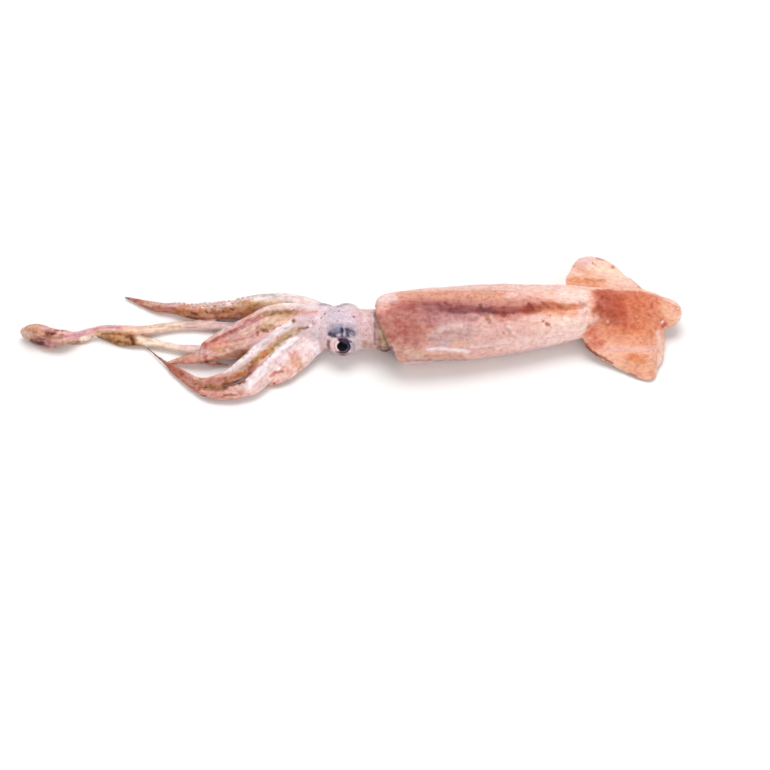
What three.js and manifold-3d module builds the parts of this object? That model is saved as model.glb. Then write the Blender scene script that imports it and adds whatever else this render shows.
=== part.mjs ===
// A whole raw squid lying on its belly: the mantle with its two fins, the head
// with eight arms and two long tentacles, and the two eyeballs in their sockets.
// The head's neck sits in the mantle's mouth, as on the real animal.
// Millimetres, +Z up, +X towards the tail and +Y away from the viewer. The origin
// is on the flat spot that the mantle rests on.
import * as THREE from "three";
import { mergeVertices } from "three/addons/utils/BufferGeometryUtils.js";
import Module from "manifold-3d";

const wasm = await Module();
wasm.setup();

// Driving dimensions.
const MANTLE_LENGTH = 180;
const RIM_X = -73; // the foremost point of the mantle, on its back
const MANTLE_HALF_WIDTH = 24.6;
const MANTLE_FLATNESS = 0.76; // height over width, as the soft tube sags
const MANTLE_SINK = 1.2; // how much of the belly is pressed flat
const MANTLE_WALL = 3.4;
const RIM_SLANT = 14.5; // how far the belly's rim lies behind the back's
const RIM_TURN = 6; // how far the near side's rim lies behind the far side's
const TAIL_LIFT = 12.5; // the stiff pen holds the tail off the table
const POCKET_DEPTH = 26; // how far the neck reaches into the mantle
const NECK_HALF = [12.6, 10.4];
const NECK_GAP = 0.4;
const FIN_ROOT_HALF = 2; // half the fin's thickness where it leaves the body
const FIN_EDGE_HALF = 0.8;
const SKULL = { at: [-92, -2.6, 13.5], half: [17, 15, 13.2] };
const CROWN = { at: [-111, 2, 12.5], half: [17, 13, 11] }; // where the arms join
const CHEEK = { at: [-103.6, 5.6, 15.8], half: [8, 7.5, 7.5] }; // in front of the far eye
const EYE_BULGE = 9.3;
const EYEBALL = 7.6;
const EYE_OUT = 2.6; // the eyeball sits this far outwards in its bulge
const SOCKET_GAP = 0.3;
const ARM_FLATNESS = 0.66; // thickness over width
const GROOVE_DEPTH = 0.35; // of the sucker side, as a share of the thickness
const GROOVE_SPREAD = 0.6; // radians
const TIP_RADIUS = 0.6;
const TENTACLE_GROOVE = 0.12;
const CLUB_FLATNESS = 0.85;

const smooth = THREE.MathUtils.smoothstep;
const lerp = THREE.MathUtils.lerp;
const UP = new THREE.Vector3(0, 0, 1);

const skin = new THREE.MeshStandardMaterial({ color: 0xd9998a, roughness: 0.35, metalness: 0 });
const paleSkin = new THREE.MeshStandardMaterial({ color: 0xd8b0a6, roughness: 0.35, metalness: 0 });
const eyeDark = new THREE.MeshStandardMaterial({ color: 0x2a2a3a, roughness: 0.1, metalness: 0 });

// A closed geometry as a solid, with its faces turned outwards.
function solid(geometry) {
  const bare = new THREE.BufferGeometry();
  bare.setAttribute("position", geometry.getAttribute("position"));
  bare.setIndex(geometry.index);
  const merged = mergeVertices(bare, 1e-3);
  const vertProperties = merged.attributes.position.array;
  const triVerts = new Uint32Array(merged.index.array);
  const made = new wasm.Manifold(new wasm.Mesh({ numProp: 3, vertProperties, triVerts }));
  if (made.volume() > 0) return made;
  for (let i = 0; i < triVerts.length; i += 3) {
    [triVerts[i + 1], triVerts[i + 2]] = [triVerts[i + 2], triVerts[i + 1]];
  }
  return new wasm.Manifold(new wasm.Mesh({ numProp: 3, vertProperties, triVerts }));
}

// A capped unit cylinder whose rings are carried to place(along, angle, reach).
// Along runs from 0 to 1, and reach is 1 on the wall and 0 at a cap's centre.
function bent(sides, steps, place) {
  const geometry = new THREE.CylinderGeometry(1, 1, 1, sides, steps);
  const p = geometry.attributes.position;
  for (let i = 0; i < p.count; i++) {
    const reach = Math.hypot(p.getX(i), p.getZ(i));
    const angle = Math.atan2(p.getZ(i), p.getX(i));
    const { x, y, z } = place(p.getY(i) + 0.5, angle, reach);
    p.setXYZ(i, x, y, z);
  }
  return solid(geometry);
}

// A smooth curve through the points.
function through(points) {
  const at = points.map((p) => new THREE.Vector3(...p));
  return new THREE.CatmullRomCurve3(at, false, "centripetal");
}

function ellipsoid({ at, half }, around, down) {
  const geometry = new THREE.SphereGeometry(1, around, down);
  return solid(geometry.scale(...half).translate(...at));
}

function ball(centre, radius, around, down) {
  const geometry = new THREE.SphereGeometry(radius, around, down);
  return solid(geometry.translate(centre.x, centre.y, centre.z));
}

// The piece pressed flat where it lies on the table. Only the outer surface of the
// largest body is kept, so that hollows which fusing seals are filled.
function onTable(made) {
  const table = new THREE.BoxGeometry(600, 300, 40).translate(-80, 0, -20);
  const bodies = made.subtract(solid(table)).decompose();
  return bodies.reduce((a, b) => (b.volume() > a.volume() ? b : a));
}

function mesh(name, made, material) {
  const { vertProperties, triVerts } = made.getMesh();
  const geometry = new THREE.BufferGeometry();
  geometry.setAttribute("position", new THREE.BufferAttribute(vertProperties, 3));
  geometry.setIndex(new THREE.BufferAttribute(triVerts, 1));
  geometry.computeVertexNormals();
  const made3d = new THREE.Mesh(geometry, material);
  made3d.name = name;
  return made3d;
}

// The mantle's half width at a share u of its length, from the mouth to the tail.
function mantleHalf(u) {
  const inside = Math.max(u, 0);
  const mouth = 1 - 0.06 * Math.exp(-inside / 0.12);
  return MANTLE_HALF_WIDTH * mouth * (1 - 0.96 * inside ** 2.9);
}

// The middle of the mantle's section: it leans away from the viewer and lifts at the tail.
function mantleCentre(u) {
  const y = -4.4 + 16.4 * smooth(u, 0, 0.9);
  const belly = -MANTLE_SINK + TAIL_LIFT * smooth(u, 0.5, 1.05);
  return new THREE.Vector3(RIM_X + MANTLE_LENGTH * u, y, belly + mantleHalf(u) * MANTLE_FLATNESS);
}

// A point of the mantle's wall. Angle 0 is the far side and a quarter turn is the back.
// inset takes it inwards, for the hollow of the mouth.
function mantlePoint(u, angle, reach, inset) {
  const centre = mantleCentre(u);
  const front = Math.exp(-Math.max(u, 0) / 0.05);
  const pinch = 1 - 0.16 * front * (1 + Math.sin(angle)) / 2;
  const half = (mantleHalf(u) * pinch - inset) * reach;
  const high = (mantleHalf(u) * MANTLE_FLATNESS * pinch - inset) * reach;
  const cut = RIM_SLANT * (1 - reach * Math.sin(angle)) - RIM_TURN * reach * Math.cos(angle);
  const slant = (cut / 2) * (1 - u) ** 6;
  return new THREE.Vector3(
    centre.x + slant,
    centre.y + half * Math.cos(angle),
    centre.z + high * Math.sin(angle),
  );
}

function mantleTube() {
  const lip = 1.1; // the rim's edge is rounded over by this much
  return bent(32, 26, (t, angle, reach) => {
    const u = t - 0.07 * Math.sin(2 * Math.PI * t);
    return mantlePoint(u, angle, reach, t === 0 ? lip : 0);
  });
}

// The hollow of the mantle's mouth, which opens in front of the rim.
function mantlePocket() {
  const inside = POCKET_DEPTH / MANTLE_LENGTH;
  return bent(28, 6, (t, angle, reach) => mantlePoint(lerp(-0.06, inside, t), angle, reach, MANTLE_WALL));
}

// Each fin is a thin sheet that bends at its shoulder, and droops and thins to its
// free edge. The near one is drawn over the back as far as a fold on its far side,
// and the far one comes out of the body below that fold.
const finTail = [107.1, 12.9, 12.5];
const nearFin = {
  root: [[50, 17, 25.6], [80, 20.5, 21.5], [103, 15, 13]],
  shoulder: [[51, 1, 26], [78, 2, 22.5], [104, 9, 12.3]],
  edge: [
    [51.5, -4, 21], [47.6, -6.2, 14], [48.3, -11.4, 8.5], [57.2, -17.2, 4.5], [68.5, -24.3, 2.6],
    [80.2, -31, 1.2], [86.5, -31.3, 1], [90.7, -23.3, 1.8], [94.8, -9.7, 3], [95.8, -4, 4.5],
    [94.4, 1.7, 6], [98.4, 2.7, 8], [102.9, 4, 10], [106.1, 8.4, 11.8], finTail,
  ],
};
const farFin = {
  root: [[47, 15, 20], [80, 15, 16], [103, 12, 12]],
  shoulder: [[40, 24, 18.5], [80, 28, 14.5], [103, 18, 12]],
  edge: [
    [39.1, 25.7, 19], [39.4, 32.8, 17.5], [42.9, 42.5, 15], [46.9, 53.8, 11], [52.8, 62.8, 6.5],
    [59.8, 65.2, 4.5], [65.7, 61.8, 4.5], [71.7, 54.2, 5], [78.6, 44.8, 6.5], [85.3, 33.9, 8.5],
    [94, 26.8, 10], [101.7, 22.5, 11.2], [105.9, 17.7, 12], finTail,
  ],
};

function finSheet(fin) {
  const [rows, columns] = [17, 8];
  const [root, shoulder, edge] = [through(fin.root), through(fin.shoulder), through(fin.edge)];
  const sheet = (s, t) => {
    const bend = shoulder.getPoint(t);
    return new THREE.CubicBezierCurve3(root.getPoint(t), bend, bend, edge.getPoint(t)).getPoint(s);
  };
  const step = 1e-3;
  const normal = (s, t) => {
    const [s0, t0] = [Math.min(s, 1 - step), Math.min(t, 1 - step)];
    const here = sheet(s0, t0);
    const across = sheet(s0 + step, t0).sub(here);
    const along = sheet(s0, t0 + step).sub(here);
    const n = across.cross(along).normalize();
    return n.z < 0 ? n.negate() : n;
  };
  const geometry = new THREE.BoxGeometry(1, 1, 1, columns, rows, 1);
  const p = geometry.attributes.position;
  for (let i = 0; i < p.count; i++) {
    const [s, t] = [p.getX(i) + 0.5, p.getY(i) + 0.5];
    const half = lerp(FIN_ROOT_HALF, FIN_EDGE_HALF, s);
    const at = sheet(s, t).addScaledVector(normal(s, t), 2 * half * p.getZ(i));
    p.setXYZ(i, at.x, at.y, at.z);
  }
  return solid(geometry);
}

function mantle() {
  return onTable(
    mantleTube().add(finSheet(nearFin)).add(finSheet(farFin)).subtract(mantlePocket()),
  );
}

// An arm's route runs from the crown of the head to its tip. half is the greatest
// half width, turn the angle by which its sucker side is rolled from straight up
// towards the viewer, and sharp how late it tapers.
const arms = [
  { // far side, with its suckers towards the viewer
    route: [[-104, 8, 15], [-112, 13, 14.5], [-121.5, 16.6, 13.2], [-133, 19.4, 11.5],
      [-145, 18.8, 10], [-156.6, 17.7, 8.5], [-168.5, 17, 7.5], [-180.5, 17.5, 6.5],
      [-191.5, 21, 5], [-203, 23.4, 3.6], [-213.8, 28.4, 2.6], [-224, 33.5, 1.5]],
    half: 7.2, turn: 0.9, sharp: 1.9,
  },
  { // top, far: a thin ridge that bends back under its own tip
    route: [[-105, 7.6, 17], [-116.3, 8.6, 18.5], [-127, 9, 18], [-136.3, 8.4, 16.5],
      [-144.5, 5.1, 14.5], [-152.6, 1, 12.5], [-161.2, -3.5, 11], [-168.6, -8.4, 9.5],
      [-172.5, -11.4, 8.5], [-173.3, -15.5, 7], [-172.3, -19.1, 4.6], [-168.3, -20.2, 3],
      [-163.8, -19.9, 2], [-158.6, -20.1, 1.5]],
    half: 3.5, turn: 0.3, sharp: 3,
  },
  { // top, near: the broad one
    route: [[-106, 4, 16], [-113, 5.5, 15], [-122, 2.3, 15], [-131, -0.3, 13.5],
      [-139.5, -5.2, 12], [-147.5, -9.3, 10.5], [-156.2, -12.6, 9], [-164.8, -15.2, 7.5],
      [-173, -17.7, 6], [-181, -18.3, 4.5], [-188.2, -18.2, 3], [-194.7, -18.9, 2]],
    half: 8.6, turn: 0.1, sharp: 2.2,
  },
  { // near side: its whip of a tip turns up to the tentacles
    route: [[-106, 4, 13], [-112.2, 2, 14.5], [-120.1, -4.4, 15.5], [-128.2, -8.8, 13.5],
      [-135.7, -14, 11], [-142.4, -20.3, 9], [-149.2, -26.4, 7.2], [-156.4, -32.2, 6],
      [-165.4, -36.8, 5.2], [-174, -37.4, 4.6], [-181.3, -32.7, 4], [-187.6, -26.9, 3.4],
      [-194, -20.7, 2.8], [-200.3, -14.4, 2.2], [-206, -8.3, 1.8], [-210.5, -4.4, 1.4]],
    half: 6.6, turn: 0.5, sharp: 1.4,
  },
  { // near side, lower
    route: [[-103, 0, 12], [-108, -3.6, 12], [-117, -11.4, 12], [-125, -17.8, 10.5],
      [-132.4, -25.3, 9], [-138, -32.3, 7.5], [-144, -39, 6], [-151.3, -42.7, 5.2],
      [-160, -43.7, 4.6], [-168.6, -43, 4], [-175.7, -40, 3.2], [-180.7, -35.2, 2.4]],
    half: 6, turn: 0.4, sharp: 3,
  },
  { // belly side, near: its tip is tucked under its neighbour
    route: [[-101, -4, 10], [-105.7, -8.1, 10], [-110.8, -13.4, 9], [-117, -20.5, 7.5],
      [-122.7, -27, 6], [-127.7, -31.7, 4.6], [-132.3, -34.3, 3.2], [-136.4, -34.4, 2]],
    half: 6, turn: 0.6, sharp: 3,
  },
  { // far side, lower, under the first arm
    route: [[-107, 12, 9], [-125, 19, 5], [-141, 20.5, 3.5], [-155, 20, 3], [-169, 19, 2.5],
      [-181, 18, 1.8]],
    half: 5, turn: 3, sharp: 2,
  },
  { // belly side, far, under the others
    route: [[-107, 4, 8], [-124, 0, 5], [-138, -7, 4], [-150, -12, 3.5], [-161, -15, 3],
      [-172, -15, 2]],
    half: 5, turn: 3, sharp: 2,
  },
];

// The far tentacle narrows to a waist and ends in a broad club that is twisted. The
// near one lies beside that waist and ends there, in a small club. halves lists
// [share of the length, half width], and twist is the club's in all.
const tentacles = [
  { route: [[-112.5, 9.8, 12], [-135.6, 8.7, 7], [-154.6, 7.5, 4], [-172.5, 9.4, 3.2],
      [-188, 9.5, 3], [-200.7, 7.2, 3], [-208.8, 5, 3.6], [-216, 3.3, 5.5], [-224.8, 3.2, 6.5],
      [-233, 3.7, 6], [-240.2, 2.6, 4.6], [-246, 0.4, 4], [-252.6, -1.9, 4.8],
      [-259.5, -2.6, 5.6], [-266.6, -1.8, 6], [-273.4, 0.9, 5.4], [-281.4, 3.1, 4.4]],
    halves: [[0, 3], [0.37, 3.2], [0.44, 2.8], [0.55, 3.4], [0.7, 2.8], [0.745, 2.5], [0.79, 3.7],
      [0.865, 5.1], [0.9, 6], [0.94, 6.2], [0.97, 5.4], [0.99, 3.9], [1, 2]],
    twist: 1.5 * Math.PI,
  },
  { route: [[-112.5, 8.3, 11], [-136.5, -1.7, 4.5], [-155.6, -8.1, 3], [-173, -10, 3],
      [-183, -9.3, 3], [-193.7, -7, 3], [-204, -4.2, 3], [-211, -3, 3.2], [-217, -2, 3.6],
      [-223.5, -0.9, 3.6], [-230.8, 0.6, 3], [-237.5, 1.6, 2.2]],
    halves: [[0, 3.3], [0.53, 3.4], [0.61, 2.5], [0.7, 2.5], [0.8, 3], [0.86, 3.9], [0.9, 4],
      [0.95, 3], [1, 0.8]],
    twist: Math.PI / 2,
  },
];

// A width that runs evenly between the stops given.
function widthAt(stops, t) {
  const next = Math.max(1, stops.findIndex(([share]) => share >= t));
  const [[from, a], [to, b]] = [stops[next - 1], stops[next]];
  return lerp(a, b, (t - from) / (to - from));
}

// A flattened rod along a route, with the shallow groove of its sucker side.
// turn(t) is the roll of that side from straight up towards the viewer, and
// flatness(t) the thickness over the width.
function limb(route, sides, steps, { turn, halfWidth, flatness, grooveDepth }) {
  const path = through(route);
  return bent(sides, steps, (t, angle, reach) => {
    const along = path.getTangentAt(t);
    const side = new THREE.Vector3().crossVectors(along, UP).normalize();
    const top = new THREE.Vector3().crossVectors(side, along);
    side.applyAxisAngle(along, -turn(t));
    top.applyAxisAngle(along, -turn(t));
    const wide = halfWidth(t);
    const fromGroove = Math.abs(angle - Math.PI / 2);
    const groove = 1 - grooveDepth * Math.exp(-((fromGroove / GROOVE_SPREAD) ** 2));
    return path
      .getPointAt(t)
      .addScaledVector(side, wide * Math.cos(angle) * reach)
      .addScaledVector(top, wide * flatness(t) * Math.sin(angle) * groove * reach);
  });
}

function arm({ route, half, turn, sharp }) {
  const halfWidth = (t) =>
    TIP_RADIUS + (half - TIP_RADIUS) * Math.min(1, 0.75 + 1.2 * t) * (1 - t ** sharp) ** 0.9;
  const [steady, flatness] = [() => turn, () => ARM_FLATNESS];
  return limb(route, 10, 17, { turn: steady, halfWidth, flatness, grooveDepth: GROOVE_DEPTH });
}

function tentacle({ route, halves, twist }) {
  const halfWidth = (t) => widthAt(halves, t);
  const turn = (t) => twist * smooth(t, 0.68, 1);
  const flatness = (t) => lerp(ARM_FLATNESS, CLUB_FLATNESS, smooth(t, 0.68, 0.84));
  return limb(route, 8, 40, { turn, halfWidth, flatness, grooveDepth: TENTACLE_GROOVE });
}

// Each eye looks outwards, and the near one up as well, as the head is rolled a little.
const sockets = [
  { name: "eye_left", bulge: new THREE.Vector3(-92, -10.3, 12.6), side: -1, raise: Math.PI / 6 },
  { name: "eye_right", bulge: new THREE.Vector3(-90, 4, 13.8), side: 1, raise: 0 },
].map((eye) => {
  const gaze = new THREE.Vector3(0, eye.side * Math.cos(eye.raise), Math.sin(eye.raise));
  return { ...eye, ball: eye.bulge.clone().addScaledVector(gaze, EYE_OUT) };
});

// The neck widens behind the skull until it fills the mantle's mouth.
function neck() {
  const [backOfSkull, end] = [-90, RIM_X + POCKET_DEPTH - 1.5];
  return bent(28, 9, (t, angle, reach) => {
    const x = lerp(backOfSkull, end, t);
    const filling = mantlePoint((x - RIM_X) / MANTLE_LENGTH, angle, reach, MANTLE_WALL + NECK_GAP);
    const stem = new THREE.Vector3(
      x,
      SKULL.at[1] + NECK_HALF[0] * Math.cos(angle) * reach,
      SKULL.at[2] + NECK_HALF[1] * Math.sin(angle) * reach,
    );
    return stem.lerp(filling, smooth(x, -70, -52));
  });
}

// The fleshy collar that shows at the mantle's mouth.
function collar() {
  const geometry = new THREE.TorusGeometry(11.8, 2.2, 6, 20);
  return solid(geometry.rotateY(Math.PI / 2).scale(1.3, 1, 0.85).translate(-68, -3, 13.5));
}

// The funnel comes out of the mantle's mouth under the neck, and opens forwards.
function funnel() {
  const pipe = (from, to, wide, narrow) =>
    bent(12, 3, (t, angle, reach) => {
      const half = lerp(wide, narrow, t);
      const x = lerp(from, to, t);
      const y = SKULL.at[1] - 1 + half * Math.cos(angle) * reach;
      const z = lerp(5, 8.2, smooth(x, -80, -56)) + 0.8 * half * Math.sin(angle) * reach;
      return new THREE.Vector3(x, y, z);
    });
  return pipe(-56, -82, 6.4, 4.2).subtract(pipe(-76, -84, 2.4, 2.8));
}

function head() {
  let made = ellipsoid(SKULL, 22, 14).add(ellipsoid(CROWN, 18, 12)).add(neck()).add(collar());
  made = made.add(ellipsoid(CHEEK, 16, 10));
  made = made.add(funnel());
  for (const { bulge } of sockets) made = made.add(ball(bulge, EYE_BULGE, 18, 12));
  for (const a of arms) made = made.add(arm(a));
  for (const t of tentacles) made = made.add(tentacle(t));
  for (const s of sockets) made = made.subtract(ball(s.ball, EYEBALL + SOCKET_GAP, 18, 12));
  return onTable(made);
}

const squid = new THREE.Group();
squid.add(mesh("mantle", mantle(), skin));
squid.add(mesh("head_and_arms", head(), paleSkin));
for (const s of sockets) squid.add(mesh(s.name, ball(s.ball, EYEBALL, 18, 12), eyeDark));

export default squid;
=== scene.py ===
# %% [markdown]
# # A whole raw squid, dressed in Blender
# The squid lies on its belly on a pale table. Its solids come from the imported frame, and this
# lesson replaces each of them with a fine, wet, translucent surface of the same form.
# Sizes are in millimetres, as on a ruler beside the squid, and one factor turns them into
# Blender's metres. +X runs to the tail, +Y away from the viewer and +Z up.

# %% Load the frame
import math

import bmesh
import bpy
import numpy as np
from mathutils import Matrix, Vector, noise
from mathutils.bvhtree import BVHTree
from mathutils.kdtree import KDTree


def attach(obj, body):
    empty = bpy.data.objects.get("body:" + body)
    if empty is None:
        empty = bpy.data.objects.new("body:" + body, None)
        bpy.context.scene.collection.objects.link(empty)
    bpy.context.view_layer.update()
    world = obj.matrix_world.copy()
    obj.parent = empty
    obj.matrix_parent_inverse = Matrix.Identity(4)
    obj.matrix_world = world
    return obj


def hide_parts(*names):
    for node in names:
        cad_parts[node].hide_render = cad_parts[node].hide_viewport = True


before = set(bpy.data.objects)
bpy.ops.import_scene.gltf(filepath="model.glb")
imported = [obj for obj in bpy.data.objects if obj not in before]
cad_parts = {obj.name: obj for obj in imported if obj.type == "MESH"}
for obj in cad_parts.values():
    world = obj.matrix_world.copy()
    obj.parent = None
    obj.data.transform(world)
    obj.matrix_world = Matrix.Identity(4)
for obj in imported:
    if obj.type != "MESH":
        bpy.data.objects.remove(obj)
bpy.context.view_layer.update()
MM = 0.001
print("frame loaded:", sorted(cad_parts))


# %% [markdown]
# Four small helpers are used everywhere: a smooth step, which is the softest way to go from
# one value to another, a blend of two values, the unit vector of each direction, and noise
# for whatever is never quite even.

# %% Helpers for shapes
def smooth(value, start, stop):
    share = np.clip((np.asarray(value, float) - start) / (stop - start), 0, 1)
    return share * share * (3 - 2 * share)


def blend(first, second, share):
    return first * (1 - share) + second * share


def unit(vectors):
    return vectors / np.maximum(np.linalg.norm(vectors, axis=-1, keepdims=True), 1e-12)


def grain(points, size, seed):
    """Noise of -1 to 1 at each point, with features of about size millimetres."""
    shift = Vector((seed * 17.3, seed * 5.1, seed * 9.7))
    return np.array([noise.noise(Vector(p) / size + shift) for p in points])


# %% [markdown]
# An arm, a fold or the edge of a fin is a smooth line through a few points. The centripetal
# Catmull-Rom curve passes through all of them and never overshoots. Its samples are then
# spaced evenly, so that a ring of the skin is as long as the next.

# %% Curves through points
STRETCH_SAMPLES = 40


def curve_through(points, count):
    """Evenly spaced samples of the curve. One more point is added beyond either end."""
    p = np.array(points, float)
    p = np.vstack([2 * p[0] - p[1], p, 2 * p[-1] - p[-2]])
    share = np.linspace(0, 1, STRETCH_SAMPLES, endpoint=False)[:, None]
    stretches = []
    for i in range(1, len(p) - 2):
        before, here, there, after = p[i - 1 : i + 3]
        pairs = ((before, here), (here, there), (there, after))
        k0, k1, k2 = [np.linalg.norm(b - a) ** 0.5 for a, b in pairs]
        leave = k1 * ((here - before) / k0 - (there - before) / (k0 + k1) + (there - here) / k1)
        arrive = k1 * ((there - here) / k1 - (after - here) / (k1 + k2) + (after - there) / k2)
        stretches.append(
            (2 * share**3 - 3 * share**2 + 1) * here
            + (share**3 - 2 * share**2 + share) * leave
            + (3 * share**2 - 2 * share**3) * there
            + (share**3 - share**2) * arrive
        )
    fine = np.vstack(stretches + [p[-2:-1]])
    steps = np.linalg.norm(np.diff(fine, axis=0), axis=1)
    run = np.concatenate([[0], np.cumsum(steps)])
    even = np.linspace(0, run[-1], count)
    return np.column_stack([np.interp(even, run, fine[:, axis]) for axis in range(3)])


def at_share(samples, share):
    """The point at a share of 0 to 1 of evenly spaced samples."""
    place = np.clip(share, 0, 1) * (len(samples) - 1)
    low = np.minimum(place.astype(int), len(samples) - 2)
    rest = (place - low)[..., None]
    return samples[low] * (1 - rest) + samples[low + 1] * rest


# %% [markdown]
# Every soft form here starts as a flat grid of one of Blender's operators. A tube rolls its
# grid up, closes the seam by merging doubles and fills its two ends. A sheet gives its grid
# a second layer by extruding it.

# %% Tubes, sheets and balls
SEAM_GAP = 1e-7


def add_tube(bm, around, along, place):
    """Rolls a grid into a closed tube. place(share, angle) gives the points in millimetres."""
    sheet = bmesh.ops.create_grid(bm, x_segments=around, y_segments=along, size=1)["verts"]
    flat = np.array([v.co for v in sheet])
    points = place((flat[:, 1] + 1) / 2, (flat[:, 0] + 1) * math.pi) * MM
    for vert, point in zip(sheet, points):
        vert.co = point
    bmesh.ops.remove_doubles(bm, verts=sheet, dist=SEAM_GAP)
    ends = [e for e in bm.edges if e.is_boundary]
    bmesh.ops.holes_fill(bm, edges=ends, sides=0)


def add_sheet(bm, across, along, place):
    """Gives a grid two layers. place(s, t, layer) has layer -1 below and 1 above."""
    faces_before = set(bm.faces)
    verts = bmesh.ops.create_grid(bm, x_segments=across, y_segments=along, size=1)["verts"]
    faces = [f for f in bm.faces if f not in faces_before]
    lifted = bmesh.ops.extrude_face_region(bm, geom=faces, use_keep_orig=True)["geom"]
    lifted = [g for g in lifted if isinstance(g, bmesh.types.BMVert)]
    both = list(verts) + lifted
    layer = np.array([-1.0] * len(verts) + [1.0] * len(lifted))
    flat = np.array([v.co for v in both])
    points = place((flat[:, 0] + 1) / 2, (flat[:, 1] + 1) / 2, layer) * MM
    for vert, point in zip(both, points):
        vert.co = point


def add_ball(bm, centre, half, around=48):
    made = bmesh.ops.create_uvsphere(bm, u_segments=around, v_segments=around // 2, radius=1)
    for vert in made["verts"]:
        vert.co = Vector(c + s * k for c, s, k in zip(centre, half, vert.co)) * MM


def finish_mesh(bm, name):
    bmesh.ops.recalc_face_normals(bm, faces=bm.faces)
    mesh = bpy.data.meshes.new(name)
    bm.to_mesh(mesh)
    bm.free()
    piece = bpy.data.objects.new(name, mesh)
    bpy.context.scene.collection.objects.link(piece)
    return piece


# %% [markdown]
# The shells overlap where they join, as clay does before the joint is rubbed over. A voxel
# remesh welds them into one skin of even faces, and a little smoothing takes the steps out.
# The voxel is about as wide as a pixel of the render, so finer relief wouldn't show.

# %% Weld the shells into one skin
def baked(piece):
    """Applies the modifiers of a piece to its mesh."""
    graph = bpy.context.evaluated_depsgraph_get()
    mesh = bpy.data.meshes.new_from_object(piece.evaluated_get(graph))
    piece.modifiers.clear()
    piece.data = mesh


def welded(piece, voxel, rounds):
    """Remeshes with voxels of this many millimetres and smooths for a few rounds."""
    remesh = piece.modifiers.new("weld", "REMESH")
    remesh.mode = "VOXEL"
    remesh.voxel_size = voxel * MM
    soften = piece.modifiers.new("soften", "SMOOTH")
    soften.factor = 0.5
    soften.iterations = rounds
    baked(piece)
    keep_largest(piece)
    print(piece.name, "welded into", len(piece.data.polygons), "faces")


def keep_largest(piece):
    """Leaves out the scraps that don't hang together with the piece."""
    bm = bmesh.new()
    bm.from_mesh(piece.data)
    unseen = set(bm.verts)
    islands = []
    while unseen:
        stack = [unseen.pop()]
        island = []
        while stack:
            vert = stack.pop()
            island.append(vert)
            for edge in vert.link_edges:
                other = edge.other_vert(vert)
                if other in unseen:
                    unseen.remove(other)
                    stack.append(other)
        islands.append(island)
    islands.sort(key=len)
    loose = [vert for island in islands[:-1] for vert in island]
    bmesh.ops.delete(bm, geom=loose, context="VERTS")
    bm.to_mesh(piece.data)
    bm.free()


def points_of(piece):
    flat = np.empty(len(piece.data.vertices) * 3)
    piece.data.vertices.foreach_get("co", flat)
    return flat.reshape(-1, 3) / MM


def normals_of(piece):
    flat = np.empty(len(piece.data.vertices) * 3)
    piece.data.vertices.foreach_get("normal", flat)
    return flat.reshape(-1, 3)


def move_to(piece, points):
    piece.data.vertices.foreach_set("co", (points * MM).ravel())
    piece.data.update()


def print_span(piece):
    points = points_of(piece)
    print(piece.name, "spans", points.min(axis=0).round(1), points.max(axis=0).round(1))


# %% [markdown]
# The camera looks down on the squid at 50 degrees, as the photograph does, from a little
# over a metre away. It comes first, because every later choice is judged through it.

# %% Camera
CAMERA_RAISE = math.radians(50)
CAMERA_DISTANCE = 1.05
CAMERA_TARGET = Vector((-0.0678, -0.0339, 0))
camera = bpy.data.objects.new("camera", bpy.data.cameras.new("camera"))
camera.data.lens = 85
camera.data.sensor_width = 36
away = Vector((0, -math.cos(CAMERA_RAISE), math.sin(CAMERA_RAISE)))
camera.location = CAMERA_TARGET + CAMERA_DISTANCE * away
camera.rotation_euler = (math.pi / 2 - CAMERA_RAISE, 0, 0)
bpy.context.scene.collection.objects.link(camera)
bpy.context.scene.camera = camera
print("camera", [round(c, 3) for c in camera.location])

# %% [markdown]
# ## The mantle
# The mantle is a muscular tube that sags under its own weight, closed to a point at the
# tail. It could be a lathe turned round an axis, but it is flatter than wide, its mouth is
# cut at a slant and its tail is lifted by the pen inside, so a formula places each ring.

# %% The mantle's form
MANTLE_LENGTH = 180
RIM_X = -73
MANTLE_HALF_WIDTH = 24.6
MANTLE_FLATNESS = 0.76
MANTLE_SINK = 1.2
MANTLE_WALL = 3.4
MOUTH_Y = -4.4
TAIL_SWING = 16.4
TAIL_LIFT = 12.5
TAIL_TAPER = 0.96
TAIL_FULLNESS = 2.9
MOUTH_NARROWING = 0.06
MOUTH_REACH = 0.12
TOP_PINCH = 0.16
PINCH_REACH = 0.05
RIM_SLANT = 14.5
RIM_TURN = 6
RIM_ROUNDING = 0.9
POCKET_DEPTH = 25.5
POCKET_SHARE = 0.1


def mantle_half(u):
    """Half the width at a share of the length: a little narrower at the mouth."""
    inside = np.maximum(u, 0)
    mouth = 1 - MOUTH_NARROWING * np.exp(-inside / MOUTH_REACH)
    return MANTLE_HALF_WIDTH * mouth * (1 - TAIL_TAPER * inside**TAIL_FULLNESS)


def mantle_centre(u):
    y = MOUTH_Y + TAIL_SWING * smooth(u, 0, 0.9)
    belly = -MANTLE_SINK + TAIL_LIFT * smooth(u, 0.5, 1.05)
    return y, belly + mantle_half(u) * MANTLE_FLATNESS


def rim_shift(u, angle):
    """How far the slant of the mouth moves a point along the squid. It fades to the tail."""
    cut = RIM_SLANT * (1 - np.sin(angle)) - RIM_TURN * np.cos(angle)
    return cut / 2 * np.clip(1 - u, 0, 1) ** 6


def mantle_point(u, angle, inset):
    y, z = mantle_centre(u)
    front = np.exp(-np.maximum(u, 0) / PINCH_REACH)
    pinch = 1 - TOP_PINCH * front * (1 + np.sin(angle)) / 2
    half = mantle_half(u) * pinch - inset
    high = mantle_half(u) * MANTLE_FLATNESS * pinch - inset
    x = RIM_X + MANTLE_LENGTH * u + rim_shift(u, angle)
    return np.column_stack([x, y + half * np.cos(angle), z + high * np.sin(angle)])


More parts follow.
